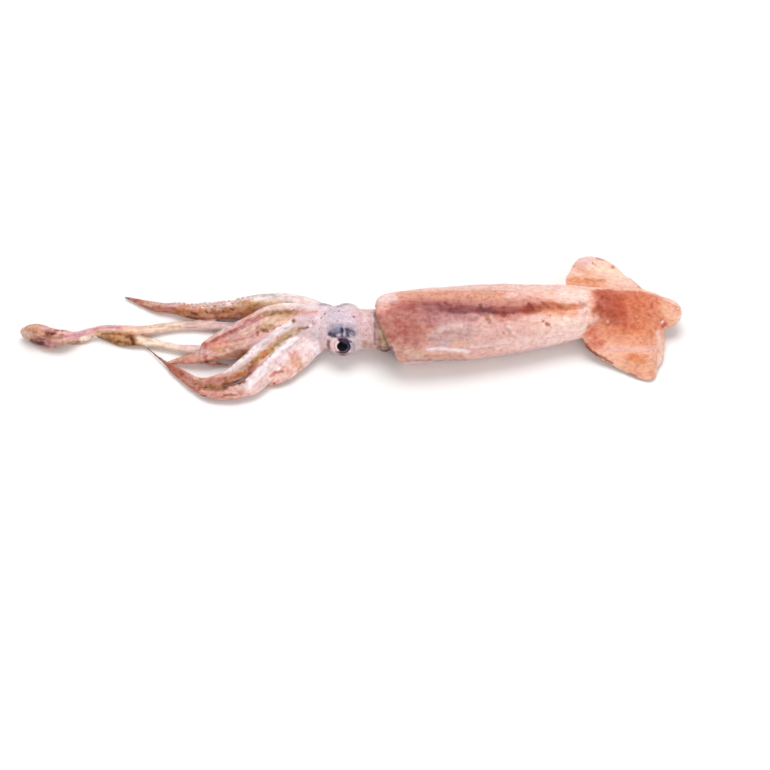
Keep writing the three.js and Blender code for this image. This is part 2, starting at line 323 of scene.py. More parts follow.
def mantle_skin(share, angle):
    """From the bottom of the pocket, out round the rim and back over the outside to the tail."""
    inner = share < POCKET_SHARE
    over = np.clip((share - POCKET_SHARE) / (1 - POCKET_SHARE), 0, 1)
    outer_u = over - 0.07 * np.sin(2 * np.pi * over)
    inner_u = blend(POCKET_DEPTH / MANTLE_LENGTH, 0.0, share / POCKET_SHARE)
    u = np.where(inner, inner_u, outer_u)
    rounding = RIM_ROUNDING * np.exp(-outer_u * MANTLE_LENGTH / 1.2)
    inset = np.where(inner, MANTLE_WALL, rounding)
    return mantle_point(np.minimum(u, 1), angle, inset)


# %% [markdown]
# Each fin is a thin sheet of muscle with a root, a shoulder where it bends, and a free edge.
# The near fin is drawn over the back as far as a crisp fold, and the far one droops beyond
# it. A Bezier curve across the sheet gives the bend, and lines through a few points give the
# outline.

# %% The fins' form
FIN_ROOT_HALF = 2.0
FIN_EDGE_HALF = 0.7
FIN_TAIL = [107.1, 12.9, 12.5]
NEAR_FIN = {
    "root": [[50, 17, 25.6], [80, 20.5, 21.5], [103, 15, 13]],
    "shoulder": [[51, 1, 26], [78, 2, 22.5], [104, 9, 12.3]],
    "edge": [[51.5, -4, 21], [47.6, -6.2, 14], [48.3, -11.4, 8.5], [57.2, -17.2, 4.5],
             [68.5, -24.3, 2.6], [80.2, -31, 1.2], [86.5, -31.3, 1], [90.7, -23.3, 1.8],
             [94.8, -9.7, 3], [95.8, -4, 4.5], [94.4, 1.7, 6], [98.4, 2.7, 8], [102.9, 4, 10],
             [106.1, 8.4, 11.8], FIN_TAIL],
}
FAR_FIN = {
    "root": [[47, 15, 20], [80, 15, 16], [103, 12, 12]],
    "shoulder": [[40, 24, 18.5], [80, 28, 14.5], [103, 18, 12]],
    "edge": [[39.1, 25.7, 19], [39.4, 32.8, 17.5], [42.9, 42.5, 15], [46.9, 53.8, 11],
             [52.8, 62.8, 6.5], [59.8, 65.2, 4.5], [65.7, 61.8, 4.5], [71.7, 54.2, 5],
             [78.6, 44.8, 6.5], [85.3, 33.9, 8.5], [94, 26.8, 10], [101.7, 22.5, 11.2],
             [105.9, 17.7, 12], FIN_TAIL],
}


def fin_lines(fin):
    return [curve_through(fin[line], 200) for line in ("root", "shoulder", "edge")]


def fin_middle(lines, s, t):
    """The middle of the sheet at shares s across and t along it."""
    root, shoulder, edge = [at_share(line, t) for line in lines]
    s = s[:, None]
    return root * (1 - s) ** 3 + shoulder * 3 * s * (1 - s) + edge * s**3


def fin_point(lines, s, t, layer):
    step = 1e-3
    s0 = np.minimum(s, 1 - step)
    t0 = np.minimum(t, 1 - step)
    here = fin_middle(lines, s0, t0)
    across = fin_middle(lines, s0 + step, t0) - here
    along = fin_middle(lines, s0, t0 + step) - here
    normal = unit(np.cross(across, along))
    normal[normal[:, 2] < 0] *= -1
    half = blend(FIN_ROOT_HALF, FIN_EDGE_HALF, s)
    ripple = 0.5 * smooth(s, 0.4, 1) * np.sin(t * 31 + 2 * np.sin(t * 9))
    return fin_middle(lines, s, t) + normal * (half * layer + ripple)[:, None]


# %% Build the mantle
bm = bmesh.new()
add_tube(bm, 110, 190, mantle_skin)
for fin in (NEAR_FIN, FAR_FIN):
    lines = fin_lines(fin)
    add_sheet(bm, 46, 80, lambda s, t, layer: fin_point(lines, s, t, layer))
mantle = finish_mesh(bm, "mantle_and_fins")
welded(mantle, 0.75, 5)
print_span(mantle)

# %% [markdown]
# ## Head, arms and tentacles
# An arm is a muscular rod, rounder on its back and hollowed on the side that carries the
# suckers, between two thin membranes. Each is swept along its own line with a formula for
# its section, so that the groove, the taper and the roll are all numbers that can be tuned.

# %% The limbs' form
ARM_FLATNESS = 0.66
TIP_RADIUS = 0.6
UP = np.array([0.0, 0.0, 1.0])
ARMS = {
    "far_upper": {
        "route": [[-104, 8, 15], [-112, 13, 14.5], [-121.5, 16.6, 13.2], [-133, 19.4, 11.5],
                  [-145, 18.8, 10], [-156.6, 17.7, 8.5], [-168.5, 17, 7.5], [-180.5, 17.5, 6.5],
                  [-191.5, 21, 5], [-203, 23.4, 3.6], [-213.8, 28.4, 2.6], [-224, 33.5, 1.5]],
        "half": 7.2, "turn": 0.9, "sharp": 1.9, "groove": 0.12, "face": 16, "cups": 1.1},
    "top_far": {
        "route": [[-105, 7.6, 17], [-116.3, 8.6, 18.5], [-127, 9, 18], [-136.3, 8.4, 16.5],
                  [-144.5, 5.1, 14.5], [-152.6, 1, 12.5], [-161.2, -3.5, 11], [-168.6, -8.4, 9.5],
                  [-172.5, -11.4, 8.5], [-173.3, -15.5, 7], [-172.3, -19.1, 4.6],
                  [-168.3, -20.2, 3], [-163.8, -19.9, 2], [-158.6, -20.1, 1.5]],
        "half": 3.5, "turn": 0.3, "sharp": 3, "groove": 0.15, "face": 90},
    "top_near": {
        "route": [[-106, 4, 16], [-113, 5.5, 15], [-122, 2.3, 15], [-131, -0.3, 13.5],
                  [-139.5, -5.2, 12], [-147.5, -9.3, 10.5], [-156.2, -12.6, 9],
                  [-164.8, -15.2, 7.5], [-173, -17.7, 6], [-181, -18.3, 4.5], [-188.2, -18.2, 3],
                  [-194.7, -18.9, 2]],
        "half": 8.6, "turn": 0.1, "sharp": 2.2, "groove": 0.4, "face": 75},
    "near_upper": {
        "route": [[-106, 4, 13], [-112.2, 2, 14.5], [-120.1, -4.4, 15.5], [-128.2, -8.8, 13.5],
                  [-135.7, -14, 11], [-142.4, -20.3, 9], [-149.2, -26.4, 7.2], [-156.4, -32.2, 6],
                  [-165.4, -36.8, 5.2], [-174, -37.4, 4.6], [-181.3, -32.7, 4],
                  [-187.6, -26.9, 3.4], [-194, -20.7, 2.8], [-200.3, -14.4, 2.2], [-206, -8.3, 1.8],
                  [-210.5, -4.4, 1.4]],
        "half": 6.6, "turn": 0.5, "sharp": 1.4, "groove": 0.5, "face": 95, "whip": 0.8},
    "near_lower": {
        "route": [[-103, 0, 12], [-108, -3.6, 12], [-117, -11.4, 12], [-125, -17.8, 10.5],
                  [-132.4, -25.3, 9], [-138, -32.3, 7.5], [-144, -39, 6], [-151.3, -42.7, 5.2],
                  [-160, -43.7, 4.6], [-168.6, -43, 4], [-175.7, -40, 3.2], [-180.7, -35.2, 2.4]],
        "half": 6, "turn": 0.4, "sharp": 3, "groove": 0.3, "face": 100},
    "belly_near": {
        "route": [[-101, -4, 10], [-105.7, -8.1, 10], [-110.8, -13.4, 9], [-117, -20.5, 7.5],
                  [-122.7, -27, 6], [-127.7, -31.7, 4.6], [-132.3, -34.3, 3.2], [-136.4, -34.4, 2]],
        "half": 6, "turn": 0.6, "sharp": 3, "groove": 0.15, "face": 90},
    "far_lower": {
        "route": [[-107, 12, 9], [-125, 19, 5], [-141, 20.5, 3.5], [-155, 20, 3], [-169, 19, 2.5],
                  [-181, 18, 1.8]],
        "half": 5, "turn": 3, "sharp": 2, "groove": 0.35, "face": 90, "cups": 0.7},
    "belly_far": {
        "route": [[-107, 4, 8], [-124, 0, 5], [-138, -7, 4], [-150, -12, 3.5], [-161, -15, 3],
                  [-172, -15, 2]],
        "half": 5, "turn": 3, "sharp": 2, "groove": 0.35, "face": 90, "cups": 0.7},
}

# %% [markdown]
# The two tentacles are smooth ribbons with clubs at their ends. The far one narrows to a
# waist before its broad club, which is twisted like a wrung cloth, and the near one ends
# beside that waist in a small club. Their half widths are listed at shares of the length.

# %% The tentacles' lines
CLUB_FLATNESS = 0.85
TENTACLES = {
    "tentacle_far": {
        "route": [[-112.5, 9.8, 12], [-135.6, 8.7, 7], [-154.6, 7.5, 4], [-172.5, 9.4, 3.2],
                  [-188, 9.5, 3], [-200.7, 7.2, 3], [-208.8, 5, 3.6], [-216, 3.3, 5.5],
                  [-224.8, 3.2, 6.5], [-233, 3.7, 6], [-240.2, 2.6, 4.6], [-246, 0.4, 4],
                  [-252.6, -1.9, 4.8], [-259.5, -2.6, 5.6], [-266.6, -1.8, 6], [-273.4, 0.9, 5.4],
                  [-281.4, 3.1, 4.4]],
        "halves": [[0, 3], [0.37, 3.2], [0.44, 2.8], [0.55, 3.4], [0.7, 2.8], [0.745, 2.5],
                   [0.79, 3.7], [0.865, 5.1], [0.9, 6], [0.94, 6.2], [0.97, 5.4], [0.99, 3.9],
                   [1, 2]],
        "twist": 1.5 * math.pi, "lobe": 0.16},
    "tentacle_near": {
        "route": [[-112.5, 8.3, 11], [-136.5, -1.7, 4.5], [-155.6, -8.1, 3], [-173, -10, 3],
                  [-183, -9.3, 3], [-193.7, -7, 3], [-204, -4.2, 3], [-211, -3, 3.2],
                  [-217, -2, 3.6], [-223.5, -0.9, 3.6], [-230.8, 0.6, 3], [-237.5, 1.6, 2.2]],
        "halves": [[0, 3.3], [0.53, 3.4], [0.61, 2.5], [0.7, 2.5], [0.8, 3], [0.86, 3.9], [0.9, 4],
                   [0.95, 3], [1, 0.8]],
        "twist": 0.5 * math.pi, "lobe": 0.08},
}


# %% The section of a limb
def limb_frame(samples, turn):
    along = unit(np.gradient(samples, axis=0))
    side = unit(np.cross(along, UP))
    top = np.cross(side, along)
    turn = np.asarray(turn)[:, None]
    return side * np.cos(turn) + top * np.sin(turn), top * np.cos(turn) - side * np.sin(turn)


def make_limb(name, samples, turn, wide, flat, groove, lobe, given):
    side, top = limb_frame(samples, turn)
    face = math.radians(given.get("face", 90))
    return {"name": name, "line": samples, "turn": turn, "side": side, "top": top, "wide": wide,
            "flat": flat, "groove": groove, "lobe": lobe, "face": face, "cups": given.get("cups", 0)}


def arm_limb(name, arm, index):
    t = np.linspace(0, 1, 260)
    samples = curve_through(arm["route"], 260)
    taper = np.minimum(1, 0.75 + 1.2 * t) * (1 - t ** arm["sharp"]) ** 0.9
    swelling = 1 + 0.05 * np.sin(t * 23 + index * 2.1) * smooth(t, 0.1, 0.3)
    wide = TIP_RADIUS + (arm["half"] - TIP_RADIUS) * taper * swelling
    if "whip" in arm:
        wide *= 1 - 0.55 * smooth(t, arm["whip"] - 0.02, arm["whip"] + 0.03)
    turn = arm["turn"] + 0.12 * np.sin(t * 7 + index)
    groove = arm["groove"] * smooth(t, 0.02, 0.2) * smooth(t, 1, 0.8)
    return make_limb(name, samples, turn, wide, 0 * t + ARM_FLATNESS, groove, 0 * t, arm)


def tentacle_limb(name, tentacle):
    t = np.linspace(0, 1, 420)
    samples = curve_through(tentacle["route"], 420)
    share, half = np.array(tentacle["halves"]).T
    wide = np.interp(t, share, half)
    wide = np.convolve(np.pad(wide, 6, "edge"), np.ones(13) / 13, "valid")
    club = smooth(t, 0.72, 0.84)
    turn = tentacle["twist"] * smooth(t, 0.68, 1)
    flat = blend(ARM_FLATNESS, CLUB_FLATNESS, smooth(t, 0.68, 0.84))
    return make_limb(
        name, samples, turn, wide, flat, 0.1 + 0.25 * club, tentacle["lobe"] * club, tentacle
    )


limbs = [arm_limb(name, arm, i) for i, (name, arm) in enumerate(ARMS.items())]
limbs += [tentacle_limb(name, tentacle) for name, tentacle in TENTACLES.items()]


def limb_at(limb, t):
    """The line, the two directions and the sizes of a limb at shares t of its length."""
    sizes = np.column_stack([limb["wide"], limb["flat"], limb["groove"], limb["lobe"]])
    sizes = at_share(sizes, t)
    return [at_share(limb[key], t) for key in ("line", "side", "top")] + [sizes]


def limb_point(limb, t, angle):
    """Two lips stand on either side of the hollow, and lobes wind round a twisted club."""
    centre, side, top, sizes = limb_at(limb, t)
    wide, flat, groove, lobe = sizes.T
    from_groove = np.abs((angle - limb["face"] + math.pi) % (2 * math.pi) - math.pi)
    form = 1 - groove * np.exp(-((from_groove / 0.55) ** 2))
    form *= 1 + 0.2 * smooth(groove, 0.05, 0.3) * np.exp(-(((from_groove - 1.05) / 0.22) ** 2))
    form *= 1 + lobe * np.cos(3 * angle + 14 * t)
    across = (wide * np.cos(angle) * form)[:, None]
    outward = (wide * flat * np.sin(angle) * form)[:, None]
    return centre + side * across + top * outward


print(len(limbs), "limbs")

# %% [markdown]
# The head is a soft box between the two eye bulges. Its neck goes into the mantle's mouth,
# where a collar closes the gap, and under it the funnel opens forwards.

# %% The head's form
SKULL = {"at": [-92, -2.6, 13.5], "half": [17, 15, 13.2]}
CROWN = {"at": [-111, 2, 12.5], "half": [17, 13, 11]}
CHEEK = {"at": [-103.6, 5.6, 15.8], "half": [8, 7.5, 7.5]}
NECK_HALF = [12.6, 10.4]
NECK_GAP = 0.4
COLLAR_AT = [-68, -3, 13.5]
COLLAR_RADIUS = 11.8
COLLAR_HALF = 2.2
FUNNEL_BACK = -56.0
FUNNEL_FRONT = -82.0
FUNNEL_BORE = 6
EYE_BULGE = 9.3
EYEBALL = 7.6
EYE_OUT = 2.6
EYELID = 8.5
EYES = {
    "eye_left": {"bulge": [-92, -10.3, 12.6], "side": -1, "raise": math.pi / 6,
                 "pupil": Vector((-0.066, -0.916, 0.395))},
    "eye_right": {"bulge": [-90, 4, 13.8], "side": 1, "raise": 0, "pupil": Vector((0, 0.98, 0.2))},
}
for eye in EYES.values():
    eye["gaze"] = Vector((0, eye["side"] * math.cos(eye["raise"]), math.sin(eye["raise"])))
    eye["ball"] = Vector(eye["bulge"]) + EYE_OUT * eye["gaze"]


def neck_point(share, angle):
    x = blend(-90.0, RIM_X + 24.5, share)
    filling = mantle_point((x - RIM_X) / MANTLE_LENGTH, angle, MANTLE_WALL + NECK_GAP)
    stem = np.column_stack([
        x,
        SKULL["at"][1] + NECK_HALF[0] * np.cos(angle),
        SKULL["at"][2] + NECK_HALF[1] * np.sin(angle),
    ])
    return blend(stem, filling, smooth(x, -70, -52)[:, None])


def collar_point(share, angle):
    """A ring round the neck, thicker than it."""
    turn = share * 2 * math.pi
    out = COLLAR_RADIUS + COLLAR_HALF * np.cos(angle)
    x = COLLAR_AT[0] + 1.3 * COLLAR_HALF * np.sin(angle)
    y = COLLAR_AT[1] + out * np.cos(turn)
    return np.column_stack([x, y, COLLAR_AT[2] + 0.85 * out * np.sin(turn)])


def funnel_point(share, angle):
    """From inside the mouth forwards to the opening, then back into its bore."""
    out = np.minimum(share / 0.7, 1)
    bore = np.maximum((share - 0.72) / 0.28, 0)
    x = blend(FUNNEL_BACK, FUNNEL_FRONT, out) + FUNNEL_BORE * bore
    half = blend(6.4, 4.2, out) * np.where(bore > 0, 0.6, 1)
    y = SKULL["at"][1] - 1 + half * np.cos(angle)
    z = blend(5.0, 8.2, smooth(x, FUNNEL_FRONT + 2, FUNNEL_BACK))
    return np.column_stack([x, y, z + 0.8 * half * np.sin(angle)])


# %% Build the head and its limbs
bm = bmesh.new()
for form in (SKULL, CROWN, CHEEK):
    add_ball(bm, form["at"], form["half"])
for eye in EYES.values():
    add_ball(bm, eye["bulge"], [EYE_BULGE] * 3)
    add_ball(bm, eye["ball"], [EYELID] * 3)
add_tube(bm, 64, 40, neck_point)
add_tube(bm, 24, 64, collar_point)
add_tube(bm, 32, 40, funnel_point)
for limb in limbs:
    add_tube(bm, 40, 220, lambda t, angle: limb_point(limb, t, angle))
head = finish_mesh(bm, "head_and_limbs")
welded(head, 0.6, 2)
print_span(head)

# %% [markdown]
# Where the squid touches the table its soft underside flattens. A soft maximum of height and
# zero does this without a crease. Real flesh is never as even as a formula either, so
# broad swellings and small dents are pushed along the normals.

# %% Uneven flesh, flat on the table
TABLE_SOFTNESS = 0.25


def settle(points):
    points = points.copy()
    points[:, 2] = (points[:, 2] + np.sqrt(points[:, 2] ** 2 + TABLE_SOFTNESS**2)) / 2
    return points


def uneven(piece, relief, seed):
    """Adds relief given as (height, size) in millimetres."""
    points = points_of(piece)
    normals = normals_of(piece)
    height = sum(high * grain(points, size, seed + i) for i, (high, size) in enumerate(relief))
    move_to(piece, settle(points + normals * height[:, None]))


uneven(mantle, [(0.7, 22), (0.35, 7), (0.12, 2.6)], 3)
uneven(head, [(0.35, 9), (0.2, 3.5)], 8)

# %% [markdown]
# ## Eyes
# A squid's eye is a firm ball behind a skin with a round opening. Each socket is cut out of
# the head with a hair's gap round the ball, which leaves a thin lid, and a short round bar
# then cuts the opening towards the pupil. Cutting leaves slivers at the rims, so they are
# merged away at the end.

# %% Eyes and sockets
SOCKET_GAP = 0.12
LID_OPENING = 4.9
BAR_AT = 9
BAR_LENGTH = 8
SLIVER = 0.02


def cut_out(piece, cutter):
    cut = piece.modifiers.new("cut", "BOOLEAN")
    cut.operation = "DIFFERENCE"
    cut.solver = "EXACT"
    cut.object = cutter
    baked(piece)
    bpy.data.objects.remove(cutter)


def ball_piece(name, centre, radius, around):
    bm = bmesh.new()
    add_ball(bm, centre, [radius] * 3, around)
    return finish_mesh(bm, name)


def merge_slivers(piece):
    """Merges the smallest edges, then takes out flaps, which are two faces back to back."""
    bm = bmesh.new()
    bm.from_mesh(piece.data)
    bmesh.ops.remove_doubles(bm, verts=bm.verts, dist=SLIVER * MM)
    bmesh.ops.dissolve_degenerate(bm, edges=bm.edges, dist=SLIVER * MM)
    bmesh.ops.triangulate(bm, faces=bm.faces)
    twins = {}
    for face in bm.faces:
        twins.setdefault(frozenset(corner.index for corner in face.verts), []).append(face)
    flaps = [face for group in twins.values() if len(group) > 1 for face in group]
    bmesh.ops.delete(bm, geom=flaps, context="FACES_ONLY")
    bm.to_mesh(piece.data)
    bm.free()
    keep_largest(piece)


eyeballs = {}
for name, eye in EYES.items():
    cut_out(head, ball_piece("cutter", eye["ball"], EYEBALL + SOCKET_GAP, 96))
    turned = eye["pupil"].to_track_quat("Z", "Y").to_matrix().to_4x4()
    placed = Matrix.Translation((eye["ball"] + BAR_AT * eye["pupil"]) * MM) @ turned
    bm = bmesh.new()
    bmesh.ops.create_cone(
        bm, cap_ends=True, segments=96, radius1=LID_OPENING * MM, radius2=LID_OPENING * MM,
        depth=BAR_LENGTH * MM, matrix=placed,
    )
    cut_out(head, finish_mesh(bm, "cutter"))
    eyeballs[name] = ball_piece(name + "_ball", eye["ball"], EYEBALL, 160)
merge_slivers(head)
print("sockets cut, the head now has", len(head.data.polygons), "faces")

# %% [markdown]
# The colours of a squid are pigment in its skin, denser on the back and torn off where it was
# handled. They could be noise alone, but the stains of a real one lie in particular places.
# So each piece gets a coat of colour on its vertices: broad fields placed along and round
# the form, and then strokes, as of a brush, laid on from the viewer's side. Most strokes are
# stains, but some are painted light: painted highlights and sheen on the wet skin, painted
# shade in folds and under edges, and pale paint that lifts shade where the form turns away.

# %% Helpers for painting
BROAD_STROKE = 3.2


def srgb(hex_colour):
    return np.array([int(hex_colour[i : i + 2], 16) / 255 for i in (1, 3, 5)])


def to_linear(values):
    return np.where(values <= 0.04045, values / 12.92, ((values + 0.055) / 1.055) ** 2.4)


def colours_along(value, stops):
    """A colour for each value, between the (value, colour) stops."""
    at = [stop for stop, _ in stops]
    table = np.array([srgb(hex_colour) for _, hex_colour in stops])
    return np.column_stack([np.interp(value, at, table[:, part]) for part in range(3)])


def glaze(coat, colour, share):
    """Lays a thin layer of a colour over the coat."""
    colour = srgb(colour) if isinstance(colour, str) else colour
    coat += (colour - coat) * np.clip(share, 0, 1)[:, None]


def band(value, centre, half):
    """1 at the centre, fading on both sides."""
    return np.exp(-(((value - centre) / half) ** 2))


def ragged(points, amount, size, seed):
    """The points, each shifted a little by noise, so that a stain's edge is torn."""
    shift = [grain(points, size, seed + axis) for axis in range(3)]
    return points + amount * np.column_stack(shift)


def nearest(samples, points):
    """For each point, the number of the sample nearest to it and the distance."""
    tree = KDTree(len(samples))
    for i, sample in enumerate(samples):
        tree.insert(sample, i)
    tree.balance()
    found = [tree.find(point)[1:] for point in points]
    return np.array([i for i, _ in found]), np.array([gap for _, gap in found])


def seen_at(points):
    """Where the viewer sees each point, in a square picture 770 wide, from its top left."""
    offset = points - np.array(camera.location) / MM
    rise, fall = math.sin(CAMERA_RAISE), math.cos(CAMERA_RAISE)
    depth = offset[:, 1] * fall - offset[:, 2] * rise
    up = offset[:, 1] * rise + offset[:, 2] * fall
    scale = 770 * camera.data.lens / camera.data.sensor_width / depth
    return np.column_stack([385 + offset[:, 0] * scale, 385 - up * scale])


def facing_viewer(piece):
    """1 where a vertex faces the viewer with nothing of its own piece in between."""
    points, normals = points_of(piece), normals_of(piece)
    toward = unit(np.array(camera.location) / MM - points)
    facing = smooth((normals * toward).sum(axis=1), 0.02, 0.25)
    tree = BVHTree.FromObject(piece, bpy.context.evaluated_depsgraph_get())
    starts = (points + 0.35 * normals + 0.2 * toward) * MM
    for i in np.flatnonzero(facing):
        if tree.ray_cast(Vector(starts[i]), Vector(toward[i]), 0.2)[0] is not None:
            facing[i] = 0
    return facing


def away_from(places, line):
    """The distance of each place from a line through corners, or from a single spot."""
    best = np.full(len(places), 1e9)
    corners = np.array(line if len(line) > 1 else line * 2, float)
    for start, stop in zip(corners[:-1], corners[1:]):
        run = stop - start
        share = np.clip((places - start) @ run / max(run @ run, 1e-9), 0, 1)
        best = np.minimum(best, np.linalg.norm(places - start - share[:, None] * run, axis=1))
    return best


def lay_strokes(coat, points, share, strokes):
    """A brush has a colour, a half width, a strength and lines, by their corners as seen."""
    fine = seen_at(ragged(points, 0.7, 2.4, 33))
    broad = seen_at(ragged(points, 2.2, 5, 43))
    for colour, half, strength, *lines in strokes:
        for line in lines:
            if half > BROAD_STROKE:
                edge = smooth(away_from(broad, line), 1.6 * half, 0.3 * half)
            else:
                edge = smooth(away_from(fine, line), 1.4 * half, 0.4 * half)
            glaze(coat, colour, strength * edge * share)


def save_coat(piece, coat, flow, freckles):
    """Saves the colours, the run of the fibres, the freckles and how deep a colour is."""
    coat = np.clip(coat, 0, 1)
    opaque = np.ones(len(coat))
    for name, kind, field, values in (
        ("coat", "FLOAT_COLOR", "color", np.column_stack([to_linear(coat), opaque])),
        ("flow", "FLOAT_VECTOR", "vector", flow * MM),
        ("freckles", "FLOAT", "value", freckles),
        ("deep", "FLOAT", "value", smooth(coat.mean(axis=1), 0.82, 0.5)),
    ):
        layer = piece.data.attributes.new(name, kind, "POINT")
        layer.data.foreach_set(field, values.ravel())


# %% Mantle places
def mantle_places(points):
    """Share of the length and angle round the mantle: 0 far side, 90 back, 180 near side."""
    u = (points[:, 0] - RIM_X) / MANTLE_LENGTH
    for _ in range(3):
        y, z = mantle_centre(np.clip(u, 0, 1))
        angle = np.arctan2((points[:, 2] - z) / MANTLE_FLATNESS, points[:, 1] - y)
        u = (points[:, 0] - RIM_X - rim_shift(u, angle)) / MANTLE_LENGTH
    return u, np.degrees(angle) % 360


def fin_places(points, fin):
    """Distance from the fin's sheet, and the share across it, from its root to its edge."""
    s, t = np.meshgrid(np.linspace(0, 1, 30), np.linspace(0, 1, 70))
    s, t = s.ravel(), t.ravel()
    index, gap = nearest(fin_middle(fin_lines(fin), s, t), points)
    return gap, s[index]


raw = points_of(mantle)
u, degrees = mantle_places(ragged(raw, 2.0, 7, 20))
near_gap, near_out = fin_places(raw, NEAR_FIN)
far_gap, far_out = fin_places(raw, FAR_FIN)
near_fin = smooth(near_gap, 2.6, 1.6) * smooth(near_out, 0.0, 0.05)
far_fin = smooth(far_gap, 2.6, 1.4) * smooth(far_out, 0.1, 0.3) * (1 - near_fin)
print("mantle places done,", int(near_fin.sum() + far_fin.sum()), "vertices on the fins")

# %% Broad fields of colour on the mantle
coat = np.tile(srgb("#e0b0a3"), (len(raw), 1))
top = smooth(degrees, 15, 45) * smooth(degrees, 106, 92)
glaze(coat, colours_along(u, [(0.0, "#dfa796"), (0.35, "#d69d8a"), (0.62, "#efc1b2")]), top)
rosy = smooth(degrees, 86, 102) * smooth(degrees, 172, 142) * smooth(u, 0.21, 0.1)
glaze(coat, "#b8766c", 0.9 * rosy)
flank = smooth(degrees, 98, 118) * smooth(degrees, 210, 190)
glaze(coat, "#e3b5ac", flank * smooth(u, 0.1, 0.2) * smooth(u, 0.6, 0.45))
glaze(coat, "#f6d3c6", flank * smooth(u, 0.42, 0.6))
glaze(coat, "#e6c6c0", smooth(degrees, 198, 216) * smooth(degrees, 350, 325))
stripe_line = np.interp(
    u, [0.05, 0.16, 0.23, 0.3, 0.4, 0.49, 0.56, 0.64], [89, 91, 100, 102, 110, 114, 107, 110]
)
stripe_half = np.interp(u, [0.03, 0.15, 0.3, 0.42, 0.55, 0.66], [9, 11, 9, 7, 5.5, 4])
stripe = band(degrees, stripe_line, stripe_half) * smooth(u, 0.01, 0.1) * smooth(u, 0.72, 0.6)
stripe_colours = [(0.05, "#b5635a"), (0.15, "#98524e"), (0.25, "#7d383a"), (0.36, "#763436"),
                  (0.42, "#9a4436"), (0.5, "#a04a32"), (0.58, "#bd6643"), (0.66, "#dfa084")]
glaze(coat, colours_along(u, stripe_colours), 0.95 * stripe)
near_colours = [(0.0, "#cf7050"), (0.5, "#dd8a68"), (0.8, "#eaa585"), (1.0, "#f0bda6")]
glaze(coat, colours_along(near_out, near_colours), near_fin)
far_colours = [(0.0, "#e4a481"), (0.5, "#f1c2a8"), (0.9, "#f2c6b2"), (1.0, "#f0c8bd")]
glaze(coat, colours_along(far_out, far_colours), far_fin)
print("fields laid on the mantle")

